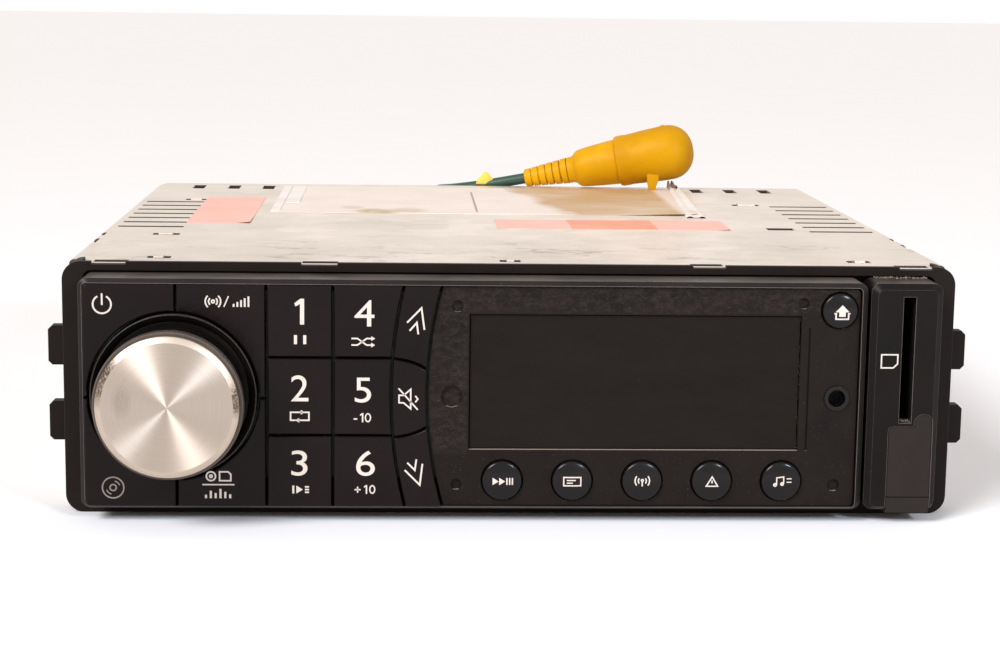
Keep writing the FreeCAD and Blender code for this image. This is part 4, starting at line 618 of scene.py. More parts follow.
# %% Finishes of CAD nodes
KEYS = ("power_key", "band_key", "mode_key", "key_1", "key_2", "key_3", "key_4", "key_5", "key_6",
        "track_up_key", "mute_key", "track_down_key")
ROUND_BUTTONS = ("scan_button", "display_button", "station_button", "traffic_button", "program_button")
WEARERS = (
    (tray_sheet, ("chassis_tray", "deck_frame", "clamp_arm")),
    (lid_sheet, ("top_cover",)),
    (plated_steel, ("rear_stud", "usb_socket", "deck_motors", "lead_screw", "encoder")),
    (black_anodised, ("heat_sink",)),
    (cast_zinc, ("pickup_sled",)),
    (nickel, ("antenna_socket",)),
    (ring_abs, ("front_frame",)),
    (bezel_abs, ("panel_bezel", "knob_surround")),
    (card_abs, ("card_panel",)),
    (inner_abs, ("disc_guide", "panel_back")),
    (plate_abs, ("display_plate",)),
    (display_film, ("display_module",)),
    (key_abs, KEYS + ("corner_cover",)),
    (button_abs, ROUND_BUTTONS + ("eject_button", "aux_jack", "knob_body")),
    (spun_aluminium, ("knob_face",)),
    (black_felt, ("slot_felts",)),
    (green_board, ("main_board", "panel_board")),
    (connector_pbt, ("card_reader", "power_connector")),
    (side_rubber, ("usb_cover_root", "usb_cover")),
    (gland_rubber, ("cable_gland", "deck_dampers", "loading_roller")),
    (green_jacket, ("video_cable",)),
    (yellow_pvc, ("line_socket",)),
    (yellow_cap, ("dust_cap",)),
    (white_acetal, ("motor_pinion", "roller_gear", "encoder_rotor")),
    (disc_plastic, ("turntable", "clamp_puck")),
)
FINISHES = {node: finish for finish, wearers in WEARERS for node in wearers}
for name, node in nodes.items():
    node.data.materials.clear()
    node.data.materials.append(FINISHES[name])
print("finished nodes:", len(FINISHES), "of", len(nodes))

# %% [markdown]
# ## Putting a piece in the scene
# Every new piece gets the same three things: its material, the body that it rides on, and
# the nodes that it stands for.


def place(name, mesh, material, body, stands_for=()):
    """Adds a mesh as a piece of the player and returns its object."""
    mesh.materials.clear()
    mesh.materials.append(material)
    obj = in_scene(name, mesh)
    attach(obj, body)
    if stands_for:
        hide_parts(*stands_for)
    return obj


def baked(obj):
    """The object's mesh with its modifiers worked in, as a plain mesh."""
    graph = bpy.context.evaluated_depsgraph_get()
    mesh = bpy.data.meshes.new_from_object(
        obj.evaluated_get(graph), preserve_all_data_layers=True, depsgraph=graph)
    bpy.data.objects.remove(obj)
    return mesh


def smoothed(mesh, corner_deg):
    """Smooth shading that breaks at corners sharper than the angle."""
    for face in mesh.polygons:
        face.use_smooth = True
    mesh.set_sharp_from_angle(angle=math.radians(corner_deg))
    return mesh


def from_bmesh(bm, name, corner_deg=35.0):
    """Turns a bmesh into a smooth mesh with its faces outwards."""
    bmesh.ops.recalc_face_normals(bm, faces=bm.faces)
    mesh = bpy.data.meshes.new(name)
    bm.to_mesh(mesh)
    bm.free()
    return smoothed(mesh, corner_deg)


def thickened(bm, shift):
    """Extrudes all faces of a flat bmesh, and returns the new side's points after a shift."""
    grown_part = bmesh.ops.extrude_face_region(bm, geom=list(bm.faces))
    points = [item for item in grown_part["geom"] if isinstance(item, bmesh.types.BMVert)]
    bmesh.ops.translate(bm, verts=points, vec=Vector(shift))
    return points


# %% [markdown]
# ## Softened edges
# A moulded or folded edge is never sharp: it has a small radius that catches a thin line of
# light, and that line is what makes black plastic readable. The function copies a CAD node,
# merges its loose triangles, and lets the Bevel modifier round every corner by a real radius.

# %% Softened copies of CAD nodes
SHARP_DEG = 32.0


def softened(node, radius_mm):
    """A copy of a CAD node with rounded edges, standing for the node."""
    bm = bmesh.new()
    bm.from_mesh(nodes[node].data)
    bmesh.ops.remove_doubles(bm, verts=bm.verts, dist=2e-6)
    bmesh.ops.dissolve_limit(bm, angle_limit=math.radians(0.8), verts=bm.verts, edges=bm.edges)
    mesh = bpy.data.meshes.new(node + "_soft")
    bm.to_mesh(mesh)
    bm.free()
    helper = in_scene(node + "_helper", smoothed(mesh, SHARP_DEG))
    rounding = helper.modifiers.new("edge_radius", "BEVEL")
    rounding.width = radius_mm * MM
    rounding.segments = 2
    rounding.limit_method = "ANGLE"
    rounding.angle_limit = math.radians(SHARP_DEG)
    rounding.use_clamp_overlap = False
    rounding.harden_normals = True
    body = nodes[node]["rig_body"]
    return place(node + "_moulded", baked(helper), FINISHES[node], body, (node,))


EDGE_RADII = {"corner_cover": 0.1, "usb_cover": 0.18, "heat_sink": 0.15, **{key: 0.1 for key in KEYS}}
for node, radius in EDGE_RADII.items():
    softened(node, radius)
print("softened nodes:", len(EDGE_RADII))

# %% [markdown]
# ## Turned forms
# Knob, collar, buttons, socket and cap are bodies of revolution. A profile of radius and depth
# is swept in steps round an axis. Points where the radius is zero become one vertex, so the
# poles are closed.

# %% Turning a profile
def turned(profile, steps=96, close=False):
    """A bmesh turned about the Y axis from (radius, y) pairs in millimetres."""
    bm = bmesh.new()
    rings = []
    for radius, y in profile:
        if radius < 1e-6:
            rings.append([bm.verts.new((0.0, y * MM, 0.0))])
            continue
        ring = []
        for step in range(steps):
            angle = 2.0 * math.pi * step / steps
            ring.append(bm.verts.new((radius * MM * math.cos(angle), y * MM, radius * MM * math.sin(angle))))
        rings.append(ring)
    pairs = list(zip(rings, rings[1:]))
    if close:
        pairs.append((rings[-1], rings[0]))
    for here, there in pairs:
        for step in range(steps):
            after = (step + 1) % steps
            if len(here) == 1:
                bm.faces.new((here[0], there[step], there[after]))
            elif len(there) == 1:
                bm.faces.new((here[step], here[after], there[0]))
            else:
                bm.faces.new((here[step], here[after], there[after], there[step]))
    return bm


def turned_at(name, profile, x, z, steps, close=False, corner_deg=35.0):
    """A profile turned about an axis that runs into the panel at x, z."""
    bm = turned(profile, steps, close)
    bmesh.ops.translate(bm, verts=bm.verts, vec=dash(x, 0.0, z))
    return from_bmesh(bm, name, corner_deg)


def quarter(radius, centre_r, centre_y, start_deg, end_deg, count=6):
    """Points of an arc in a profile."""
    angles = [math.radians(start_deg + (end_deg - start_deg) * index / count) for index in range(count + 1)]
    return [(centre_r + radius * math.cos(a), centre_y + radius * math.sin(a)) for a in angles]


print("a quarter arc has", len(quarter(1, 0, 0, 0, 90)), "points")

# %% [markdown]
# ## The knob
# A collar sunk in the panel, a black grip with a fine straight knurl at its front edge, and
# the spun cap with a polished bevel. The knurl is a rule, one thin ridge repeated round the
# grip, so Geometry Nodes make it: points on a circle, a ridge instanced on each and turned
# outwards.

# %% Geometry Nodes helpers
def new_tree(name, sockets):
    """An empty Geometry Nodes tree with named inputs; returns it with its input node."""
    tree = bpy.data.node_groups.new(name, "GeometryNodeTree")
    tree.is_modifier = True
    tree.interface.new_socket("Geometry", in_out="INPUT", socket_type="NodeSocketGeometry")
    for socket, kind in sockets.items():
        tree.interface.new_socket(socket, in_out="INPUT", socket_type="NodeSocket" + kind)
    tree.interface.new_socket("Geometry", in_out="OUTPUT", socket_type="NodeSocketGeometry")
    return tree, add(tree, "NodeGroupInput").outputs


def end_tree(tree, instances, given):
    """Ends a tree in Realize Instances and Set Material."""
    real = add(tree, "GeometryNodeRealizeInstances", {0: instances})
    painted = add(tree, "GeometryNodeSetMaterial", {0: real.outputs[0], "Material": given["Material"]})
    add(tree, "NodeGroupOutput", {0: painted.outputs[0]})
    return tree


def grown(name, tree, values, points=((0.0, 0.0, 0.0),)):
    """Runs a tree on a mesh of loose points and returns the result as a plain mesh."""
    host = bpy.data.meshes.new(name + "_points")
    host.from_pydata([tuple(point) for point in points], [], [])
    helper = in_scene(name + "_helper", host)
    modifier = helper.modifiers.new(name, "NODES")
    modifier.node_group = tree
    for item in tree.interface.items_tree:
        if item.in_out == "INPUT" and item.name in values:
            modifier[item.identifier] = values[item.name]
    return baked(helper)


print("Geometry Nodes helpers ready")

# %% Knurl ridges
def knurl_tree():
    tree, given = new_tree("knurl", {
        "Count": "Int", "Radius": "Float", "Ridge": "Float", "Length": "Float", "Material": "Material"})
    circle = add(tree, "GeometryNodeMeshCircle", {"Vertices": given["Count"], "Radius": given["Radius"]})
    size = add(tree, "ShaderNodeCombineXYZ", {0: given["Ridge"], 1: given["Ridge"], 2: given["Length"]})
    bar = add(tree, "GeometryNodeMeshCube", {"Size": size.outputs[0]})
    edge_out = add(tree, "GeometryNodeTransform", {
        0: bar.outputs[0], "Rotation": (0.0, 0.0, math.radians(45.0))})
    position = add(tree, "GeometryNodeInputPosition").outputs[0]
    outward = add(tree, "FunctionNodeAlignRotationToVector", {"Vector": position}, axis="X", pivot_axis="Z")
    ridges = add(tree, "GeometryNodeInstanceOnPoints", {
        "Points": circle.outputs[0], "Instance": edge_out.outputs[0], "Rotation": outward.outputs[0]})
    return end_tree(tree, ridges.outputs[0], given)


GRIP_FRONT = -19.2
GRIP_BACK = -8.85
KNURL_LENGTH = 2.8
KNURL_END = GRIP_FRONT + KNURL_LENGTH
knurl = grown("knob_knurl", knurl_tree(), {
    "Count": 210, "Radius": 14.2 * MM, "Ridge": 0.4 * MM, "Length": KNURL_LENGTH * MM, "Material": knurl_abs,
})
knurl.transform(Matrix.Translation(dash(KNOB_X, GRIP_FRONT + KNURL_LENGTH / 2.0, KNOB_Z)) @ turn(90.0, "X"))
place("knob_knurl", knurl, knurl_abs, "knob")
print("knurl faces:", len(knurl.polygons))

# %% Grip, cap and collar
CAP_FACE = -21.0


def knob_part(name, profile, steps, material, body, stands_for=(), close=True, corner_deg=35.0):
    """A turned piece of the knob from its (radius, y) profile."""
    mesh = turned_at(name, profile, KNOB_X, KNOB_Z, steps, close, corner_deg)
    return place(name, mesh, material, body, stands_for)


front_profile = [(13.2, GRIP_FRONT + 0.05), (13.9, GRIP_FRONT + 0.05)]
front_profile += quarter(0.3, 13.98, GRIP_FRONT + 0.35, -90, 0, 4)
front_profile += [(14.28, KNURL_END - 0.1), (14.2, KNURL_END), (13.2, KNURL_END)]
knob_part("knob_grip_edge", front_profile, 128, knurl_abs, "knob")
grip_profile = [
    (0.0, GRIP_FRONT + 0.1), (13.3, GRIP_FRONT + 0.1), (13.3, KNURL_END - 0.2), (13.95, KNURL_END - 0.1),
    (14.05, KNURL_END + 0.4), (14.1, GRIP_BACK - 0.4), (13.9, GRIP_BACK), (12.7, GRIP_BACK),
    (12.7, -17.4), (0.0, -17.4),
]
knob_part("knob_grip", grip_profile, 128, button_abs, "knob", ("knob_body",), close=False)
face_profile = [(0.0, CAP_FACE), (0.4, CAP_FACE), (12.45, CAP_FACE), (12.62, CAP_FACE + 0.03)]
knob_part("knob_cap_face", face_profile, 160, spun_aluminium, "knob", ("knob_face",),
          close=False)
rim_profile = [(12.3, -20.9), (12.6, -20.98), (13.62, -20.56), (13.75, -20.42), (13.75, -19.3), (12.3, -19.3)]
knob_part("knob_cap_rim", rim_profile, 160, cap_edge, "knob", corner_deg=25.0)
collar_profile = [
    (3.9, -7.75), (14.6, -7.75), (14.75, -7.9), (14.85, -8.3), (15.0, -8.55), (15.45, -8.92),
    (15.9, -9.2), (16.12, -9.29), (16.26, -9.22), (16.3, -9.0), (16.3, -3.7),
    (15.1, -3.7), (15.1, -6.6), (3.9, -6.6),
]
knob_part("knob_collar", collar_profile, 160, card_abs, "front_panel", ("knob_surround",),
          corner_deg=30.0)
print("knob front at", CAP_FACE, "mm")

# %% [markdown]
# ## Round buttons
# Five small domed buttons sit under the window, and a smaller one above the jack ejects the
# disc. Their tops are lacquered and slightly domed, so each shows one soft highlight.

# %% Round buttons
BUTTON_FIRST_X = -2.05
BUTTON_PITCH = 13.98
BUTTON_Z = 8.7
BUTTON_RADIUS = 4.0
BUTTON_TOP = -9.3
BUTTON_FOOT = -5.9
BUTTON_DOME = 0.55
BUTTON_SPOTS = {
    name: (BUTTON_FIRST_X + index * BUTTON_PITCH, BUTTON_Z, BUTTON_RADIUS)
    for index, name in enumerate(ROUND_BUTTONS)
}
BUTTON_SPOTS["eject_button"] = (64.5, 43.3, 3.55)


def button_depth(distance, radius):
    """Depth of the domed top at a distance from its centre, in millimetres."""
    return BUTTON_TOP + BUTTON_DOME * (distance / radius) ** 2


def domed_button(name, x, z, radius):
    distances = [radius * 0.9 * index / 8.0 for index in range(9)]
    profile = [(distance, button_depth(distance, radius)) for distance in distances]
    edge = profile[-1][1]
    profile += [(radius * 0.965, edge + 0.16), (radius, edge + 0.42), (radius, BUTTON_FOOT), (0.0, BUTTON_FOOT)]
    mesh = turned_at(name + "_cap", profile, x, z, 64, corner_deg=40.0)
    place(name + "_cap", mesh, button_abs, name, (name,))


for name, spot in BUTTON_SPOTS.items():
    domed_button(name, *spot)
print("round buttons:", len(BUTTON_SPOTS))

# %% [markdown]
# ## Line socket and dust cap
# The yellow socket is one moulding: a ribbed strain relief, a shell that swells, and a thick
# soft cap with a round end pushed over the mouth. The relief's ribs are again one shape
# repeated, growing along the axis, which a second tree makes.

# %% Relief ribs
def ribs_tree():
    tree, given = new_tree("relief_ribs", {
        "Count": "Int", "Pitch": "Float", "First radius": "Float", "Growth": "Float", "Width": "Float",
        "Material": "Material"})
    step = add(tree, "ShaderNodeCombineXYZ", {2: given["Pitch"]})
    line = add(tree, "GeometryNodeMeshLine", {"Count": given["Count"], "Offset": step.outputs[0]})
    index = add(tree, "GeometryNodeInputIndex")
    radius = add(tree, "ShaderNodeMath", {
        0: index.outputs[0], 1: given["Growth"], 2: given["First radius"]}, operation="MULTIPLY_ADD").outputs[0]
    scale = add(tree, "ShaderNodeCombineXYZ", {0: radius, 1: radius, 2: given["Width"]})
    band = add(tree, "GeometryNodeMeshCone", {
        "Vertices": 48, "Radius Bottom": 1.0, "Radius Top": 1.045, "Depth": 1.0})
    ribs = add(tree, "GeometryNodeInstanceOnPoints", {
        "Points": line.outputs[0], "Instance": band.outputs["Mesh"], "Scale": scale.outputs[0]})
    return end_tree(tree, ribs.outputs[0], given)


to_socket = Matrix.Translation(dash(*SOCKET_TAIL)) @ SOCKET_AXIS.to_track_quat("Z", "Y").to_matrix().to_4x4()
ribs = grown("relief_ribs", ribs_tree(), {
    "Count": 6, "Pitch": 2.05 * MM, "First radius": 2.42 * MM, "Growth": 0.2 * MM, "Width": 1.6 * MM,
    "Material": yellow_pvc,
})
ribs.transform(to_socket @ Matrix.Translation(Vector((0.0, 0.0, 0.3 * MM))))
relief_ribs = place("relief_ribs", smoothed(ribs, 40.0), yellow_pvc, "chassis")
print("relief rib faces:", len(ribs.polygons))

# %% Shell and cap
def about_socket(profile, name):
    """A profile turned about the socket's axis; distances run from the lead's end."""
    bm = turned(profile, 72)
    bmesh.ops.transform(bm, matrix=to_socket @ turn(90.0, "X"), verts=bm.verts)
    return from_bmesh(bm, name, 40.0)


shell_profile = [
    (0.0, 0.0), (1.9, 0.0), (2.1, 0.3), (2.15, 1.0), (3.05, 12.3), (3.5, 12.35), (3.65, 13.8), (3.9, 14.3),
    (4.5, 14.8), (5.0, 15.5), (5.3, 17.0), (5.65, 20.0), (6.05, 24.0), (6.25, 27.0), (6.1, 27.6), (0.0, 27.6),
]
shell = about_socket(shell_profile, "socket_shell")
socket_shell = place("socket_shell", shell, yellow_pvc, "chassis", ("line_socket",))
CAP_RADIUS = 7.5
DOME_FROM = 40.8
DOME_HEIGHT = 6.7
cap_outline = [
    (0.0, 26.2), (6.35, 26.2), (6.75, 26.4), (6.95, 27.0), (7.0, 28.5), (6.9, 29.6), (7.0, 31.0), (7.3, 35.0),
    (7.47, 38.5), (CAP_RADIUS, DOME_FROM),
]
for index in range(1, 12):
    angle = math.radians(90.0 * index / 12)
    cap_outline.append((CAP_RADIUS * math.cos(angle) ** 0.9, DOME_FROM + DOME_HEIGHT * math.sin(angle)))
cap_outline.append((0.0, DOME_FROM + DOME_HEIGHT))
cap_mesh = about_socket(cap_outline, "soft_cap")
soft_cap = place("soft_cap", cap_mesh, yellow_cap, "chassis", ("dust_cap",))
print("cap ends", round(cap_outline[-1][1], 1), "mm along the socket")

# %% [markdown]
# The cap has a pull tab that reaches down to the lid, and a small moulding nub on its top.
# The tab is an outline given a thickness, with its edges rounded.

# %% Pull tab and nub
def leaf(outline, y0, y1, name):
    """An outline in the X-Z plane, given a thickness along Y and softened edges."""
    bm = bmesh.new()
    bm.faces.new([bm.verts.new(dash(x, y0, z)) for x, z in outline])
    thickened(bm, (0.0, (y1 - y0) * MM, 0.0))
    bmesh.ops.bevel(bm, geom=list(bm.edges), offset=0.28 * MM, segments=2, affect="EDGES", profile=0.6)
    return from_bmesh(bm, name, 60.0)


TAB_OUTLINE = (
    (45.55, 50.55), (47.2, 50.55), (47.6, 52.0), (48.15, 53.4), (48.25, 54.8), (47.8, 56.2),
    (46.9, 57.0), (46.0, 57.0), (45.2, 56.1), (44.85, 54.8), (44.95, 53.4), (45.2, 52.0),
)
tab = leaf(TAB_OUTLINE, 158.8, 160.2, "cap_pull_tab")
pull_tab = place("cap_pull_tab", tab, yellow_cap, "chassis")
nub = turned([(0.0, 0.0), (1.2, 0.0), (1.15, 0.5), (0.8, 0.95), (0.0, 1.1)], 24)
bmesh.ops.transform(nub, matrix=Matrix.Translation(dash(49.6, 163.9, 67.15)) @ turn(90.0, "X"), verts=nub.verts)
cap_nub = place("cap_nub", from_bmesh(nub, "cap_nub"), yellow_cap, "chassis")
print("tab stands on the lid at", COVER_TOP, "mm")

# %% [markdown]
# The lead goes onto the chassis in place of the CAD cable, and the pieces at its end go with it. A twist
# of pale tape sits on it where it meets the lid.

green_lead.data.materials.append(green_jacket)
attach(green_lead, "chassis")
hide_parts("video_cable")
TAG_OUTLINE = ((-1.7, 50.6), (3.6, 50.6), (3.1, 52.2), (1.5, 54.0), (0.7, 54.2), (-0.6, 52.6), (-1.4, 51.6))
place("lead_tag", leaf(TAG_OUTLINE, 171.2, 172.6, "lead_tag"), paper_tag, "chassis")

# %% [markdown]
# ## Printed legends
# Print is ink a few hundredths of a millimetre thick. Digits come from Blender's own font, scaled to the box that
# each fills on the key. Pictograms are drawn as strokes: a ribbon of quads along a line with
# mitred corners. Both end as thin closed meshes just proud of the key.

# %% Strokes and outlines
INK = 0.03
SUNK = 0.01


def ribbon(points, width, closed=False):
    """Quads of a line drawn with a width; points are (x, z) in millimetres."""
    line = [Vector(point) for point in points]
    count = len(line)
    sides = []
    for index, point in enumerate(line):
        before = line[index - 1] if index or closed else None
        after = line[(index + 1) % count] if index < count - 1 or closed else None
        into = (point - before).normalized() if before else (after - point).normalized()
        out = (after - point).normalized() if after else into
        normal = Vector((-into.y - out.y, into.x + out.x)).normalized()
        reach = width / 2.0 / max(0.35, normal.dot(Vector((-out.y, out.x))))
        sides.append((point + normal * reach, point - normal * reach))
    following = sides[1:] + sides[:1] if closed else sides[1:]
    return [[here[0], there[0], there[1], here[1]] for here, there in zip(sides, following)]


def strokes(width, *lines):
    """Several open lines drawn with one width."""
    return [quad for line in lines for quad in ribbon(line, width)]


def arc(x, z, radius, start_deg, end_deg, count=24):
    """Points of an arc; angles from the right, anticlockwise as seen from the front."""
    angles = [math.radians(start_deg + (end_deg - start_deg) * i / count) for i in range(count + 1)]
    return [(x + radius * math.cos(a), z + radius * math.sin(a)) for a in angles]


def ring(x, z, radius, width):
    return ribbon(arc(x, z, radius, 0, 360, 36)[:-1], width, closed=True)


def box(x0, x1, z0, z1):
    return [(x0, z0), (x1, z0), (x1, z1), (x0, z1)]


def arrow(x, z, size, direction):
    """A filled triangle pointing right (1) or left (-1)."""
    return [(x, z - size / 2.0), (x + direction * size * 0.8, z), (x, z + size / 2.0)]


def inked(name, shapes, body, depth_of=None, material=white_print):
    """Flat shapes as ink; depth_of gives a domed face's depth at x, z, else the face is flat."""
    bm = bmesh.new()
    for shape in shapes:
        bm.faces.new([bm.verts.new((x * MM, 0.0, z * MM)) for x, z in shape])
    bmesh.ops.remove_doubles(bm, verts=bm.verts, dist=1e-6)
    if depth_of:
        bmesh.ops.triangulate(bm, faces=bm.faces)
        bmesh.ops.subdivide_edges(bm, edges=bm.edges, cuts=4, use_grid_fill=True)
    front = set(thickened(bm, (0.0, 0.0, 0.0)))
    for vert in bm.verts:
        depth = depth_of(vert.co.x / MM, vert.co.z / MM) if depth_of else NOSE_FACE
        vert.co.y = (depth - (INK if vert in front else -SUNK) - DASH_PLANE) * MM
    return place(name, from_bmesh(bm, name, 30.0), material, body)


def digit_print(digit, box_mm, key):
    """A digit as ink, fitted to its box of x and z ranges on the key's face."""
    name = "print_digit_" + digit
    curve = bpy.data.curves.new(name, "FONT")
    curve.body = digit
    curve.extrude = SUNK
    mesh = baked(in_scene(name + "_helper", curve))
    xs = [v.co.x for v in mesh.vertices]
    ys = [v.co.y for v in mesh.vertices]
    x0, x1, z0, z1 = box_mm
    for v in mesh.vertices:
        x = x0 + (x1 - x0) * (v.co.x - min(xs)) / (max(xs) - min(xs))
        z = z0 + (z1 - z0) * (v.co.y - min(ys)) / (max(ys) - min(ys))
        v.co = dash(x, NOSE_FACE - INK if v.co.z > 0.0 else NOSE_FACE + SUNK, z)
    return place(name, mesh, white_print, key)


print("ink is", INK, "mm proud")

# %% Digits
DIGIT_BOXES = {
    "4": (-31.4, -27.5, 39.7, 44.9),
    "2": (-43.8, -40.4, 24.7, 29.9), "5": (-31.3, -28.1, 24.5, 29.5),
    "3": (-43.8, -40.6, 9.7, 14.8), "6": (-31.0, -27.3, 9.7, 14.8),
}
for digit, box_mm in DIGIT_BOXES.items():
    digit_print(digit, box_mm, "key_" + digit)


def one(x, z, high):
    """A figure one with a short flag, its stem's right side at x."""
    stem = 0.16 * high
    return [[(x - stem, z), (x, z), (x, z + high), (x - stem * 0.9, z + high),
             (x - 0.38 * high, z + 0.82 * high), (x - 0.33 * high, z + 0.7 * high), (x - stem, z + 0.8 * high)]]


def zero(x, z, high):
    """A narrow figure nought about x."""
    angles = [math.radians(degrees) for degrees in range(0, 360, 15)]
    loop = [(x + 0.27 * high * math.cos(a), z + high / 2.0 + 0.43 * high * math.sin(a)) for a in angles]
    return ribbon(loop, 0.14 * high, closed=True)


inked("print_digit_1", one(-41.2, 40.0, 5.1), "key_1")
minus = strokes(0.28, [(-31.5, 21.2), (-30.8, 21.2)])
inked("print_minus_ten", minus + one(-29.6, 20.55, 1.85) + zero(-28.7, 20.55, 1.85), "key_5")
plus = strokes(0.28, [(-31.3, 6.9), (-30.1, 6.9)], [(-30.7, 6.3), (-30.7, 7.5)])
inked("print_plus_ten", plus + one(-28.8, 6.05, 1.8) + zero(-27.8, 6.05, 1.8), "key_6")
print("digits:", len(DIGIT_BOXES) + 3)

# %% [markdown]
# ## Pictograms
# The small legends under the digits and on the other keys are plain signs: pause, shuffle,
# repeat, intro, power, mute, double arrows, waves, levels and a card's outline.

# %% Signs on the keys
inked("print_pause", [box(-43.2, -42.6, 36.1, 37.9), box(-41.4, -40.8, 36.1, 37.9)], "key_1")
shuffle = strokes(0.3, [(-32.0, 36.0), (-30.8, 36.0), (-29.0, 37.3), (-28.1, 37.3)],
                  [(-32.0, 37.3), (-30.8, 37.3), (-29.0, 36.0), (-28.1, 36.0)])
inked("print_shuffle", shuffle + [arrow(-28.1, 37.3, 0.95, 1), arrow(-28.1, 36.0, 0.95, 1)], "key_4")
repeat = strokes(0.3, [(-42.9, 20.9), (-43.9, 20.9), (-43.9, 22.5), (-41.6, 22.5)],
                 [(-41.3, 22.5), (-40.3, 22.5), (-40.3, 20.9), (-42.4, 20.9)])
inked("print_repeat", repeat + [arrow(-41.9, 22.5, 0.95, 1), arrow(-42.2, 20.9, 0.95, -1)], "key_2")
lines = strokes(0.3, *([(-41.1, z), (-40.3, z)] for z in (6.35, 6.9, 7.45)))
inked("print_intro", [box(-43.6, -43.2, 6.1, 7.7), arrow(-42.8, 6.9, 1.6, 1)] + lines, "key_3")
power = strokes(0.34, arc(-80.39, 43.74, 1.77, 118, 422, 30), [(-80.39, 43.6), (-80.39, 45.9)])
inked("print_power", power, "power_key")
waves = ring(-58.9, 44.45, 0.28, 0.3)
for radius in (0.85, 1.5):
    waves += strokes(0.3, arc(-58.9, 44.45, radius, -48, 48, 10), arc(-58.9, 44.45, radius, 132, 228, 10))
waves += strokes(0.26, [(-56.8, 43.4), (-55.9, 45.5)])
for index in range(5):
    x = -54.9 + index * 0.72
    waves += strokes(0.36, [(x, 43.4), (x, 44.0 + index * 0.37)])
inked("print_waves", waves, "band_key")
levels = ring(-59.6, 9.55, 0.9, 0.3) + ring(-59.6, 9.55, 0.25, 0.3)
card_outline = [(-57.9, 8.65), (-57.9, 10.45), (-56.2, 10.45), (-55.7, 9.95), (-55.7, 8.65)]
levels += ribbon(card_outline, 0.3, closed=True)
levels += strokes(0.26, [(-61.3, 7.85), (-55.0, 7.85)])
for index, height in enumerate((0.7, 1.5, 1.05, 1.9, 1.3, 0.8)):
    x = -60.6 + index * 0.95
    levels += strokes(0.42, [(x, 5.1), (x, 5.1 + height)])
inked("print_levels", levels, "mode_key")
up = strokes(0.34, [(-21.1, 40.5), (-18.3, 43.4), (-17.7, 39.1)],
             [(-20.6, 38.9), (-19.2, 40.5), (-18.9, 38.2)])
inked("print_up", up, "track_up_key")
down = strokes(0.34, [(-20.9, 12.4), (-19.4, 10.9), (-19.1, 13.1)],
               [(-21.4, 10.9), (-18.4, 7.9), (-17.9, 12.2)])
inked("print_down", down, "track_down_key")
horn = [(-22.6, 24.5), (-21.7, 24.5), (-20.3, 23.3), (-20.3, 27.2), (-21.7, 26.0), (-22.6, 26.0)]
mute = ribbon(horn, 0.3, closed=True) + strokes(0.3, [(-22.7, 27.4), (-18.9, 23.1)],
                                                [(-19.4, 24.6), (-18.9, 25.25), (-19.4, 25.9)])
inked("print_mute", mute, "mute_key")
disc = ring(-78.8, 7.2, 2.1, 0.26) + ring(-78.8, 7.2, 0.62, 0.26)
disc += strokes(0.22, arc(-78.8, 7.2, 1.35, 20, 75, 8), arc(-78.8, 7.2, 1.35, 200, 255, 8))
inked("print_disc", disc, "front_panel", material=grey_print)
card = ribbon([(73.0, 32.0), (73.0, 34.65), (76.25, 34.65), (76.25, 32.8), (75.4, 32.0)], 0.28, closed=True)
inked("print_card", card, "chassis")
print("signs on keys: 12")

# %% [markdown]
# The signs on the round buttons are drawn about each button's own centre and then moved there,
# and their ink follows the dome.

# %% Signs on the round buttons
def on_button(name, shapes):
    """Inks shapes drawn about a button's centre onto its dome."""
    x, z, radius = BUTTON_SPOTS[name]

    def depth_of(px, pz):
        return button_depth(math.hypot(px - x, pz - z), radius)

    here = [[(x + px, z + pz) for px, pz in shape] for shape in shapes]
    inked("print_" + name.replace("eject_button", "eject"), here, name, depth_of)


bars = strokes(0.28, *([(x, -0.7), (x, 0.7)] for x in (0.95, 1.5, 2.05)))
on_button("scan_button", [arrow(-1.9, 0.0, 1.5, 1), arrow(-0.6, 0.0, 1.5, 1)] + bars)
screen = ribbon([(-1.7, -0.85), (-1.7, 0.85), (1.7, 0.85), (1.7, -0.85)], 0.26, closed=True)
on_button("display_button", screen + strokes(0.24, [(-1.1, 0.25), (0.7, 0.25)], [(-1.1, -0.3), (0.1, -0.3)]))
station = strokes(0.28, [(0.0, -0.9), (0.0, 0.1)]) + ring(0.0, 0.3, 0.2, 0.25)
for radius in (0.8, 1.45):
    station += strokes(0.26, arc(0.0, 0.2, radius, -40, 40, 8), arc(0.0, 0.2, radius, 140, 220, 8))
on_button("station_button", station)
traffic = ribbon([(-1.15, -0.85), (1.15, -0.85), (0.0, 1.05)], 0.26, closed=True)
on_button("traffic_button", traffic + strokes(0.26, [(0.0, -0.25), (0.0, 0.35)]))
note = strokes(0.24, [(-1.0, -0.45), (-1.0, 0.9), (0.4, 1.1), (0.4, -0.25)])
note += ring(-1.3, -0.55, 0.24, 0.3) + ring(0.1, -0.35, 0.24, 0.3)
on_button("program_button", note + strokes(0.22, [(1.0, 0.7), (2.0, 0.7)], [(1.0, 0.0), (2.0, 0.0)]))
house = [
    [(0.27, 1.25), (-1.13, -0.15), (-0.38, -0.15), (0.92, -0.15), (1.67, -0.15)],
    [(-0.38, -0.15), (-0.38, -1.05), (0.92, -1.05), (0.92, -0.15)],
]
tray = [(-1.33, -0.45), (-0.98, -0.45), (-0.98, -1.55), (1.52, -1.55), (1.52, -0.45), (1.87, -0.45)]
on_button("eject_button", house + strokes(0.3, tray))
print("signs on round buttons: 6")

# %% [markdown]
# ## Paper labels on the lid
# Each label is a thin sheet with a little life: a corner lifts a fraction of a millimetre and the
# surface waves slightly. A grid mesh with seeded lifts does that. The strip near the large
# label's right end has come loose and curls up.

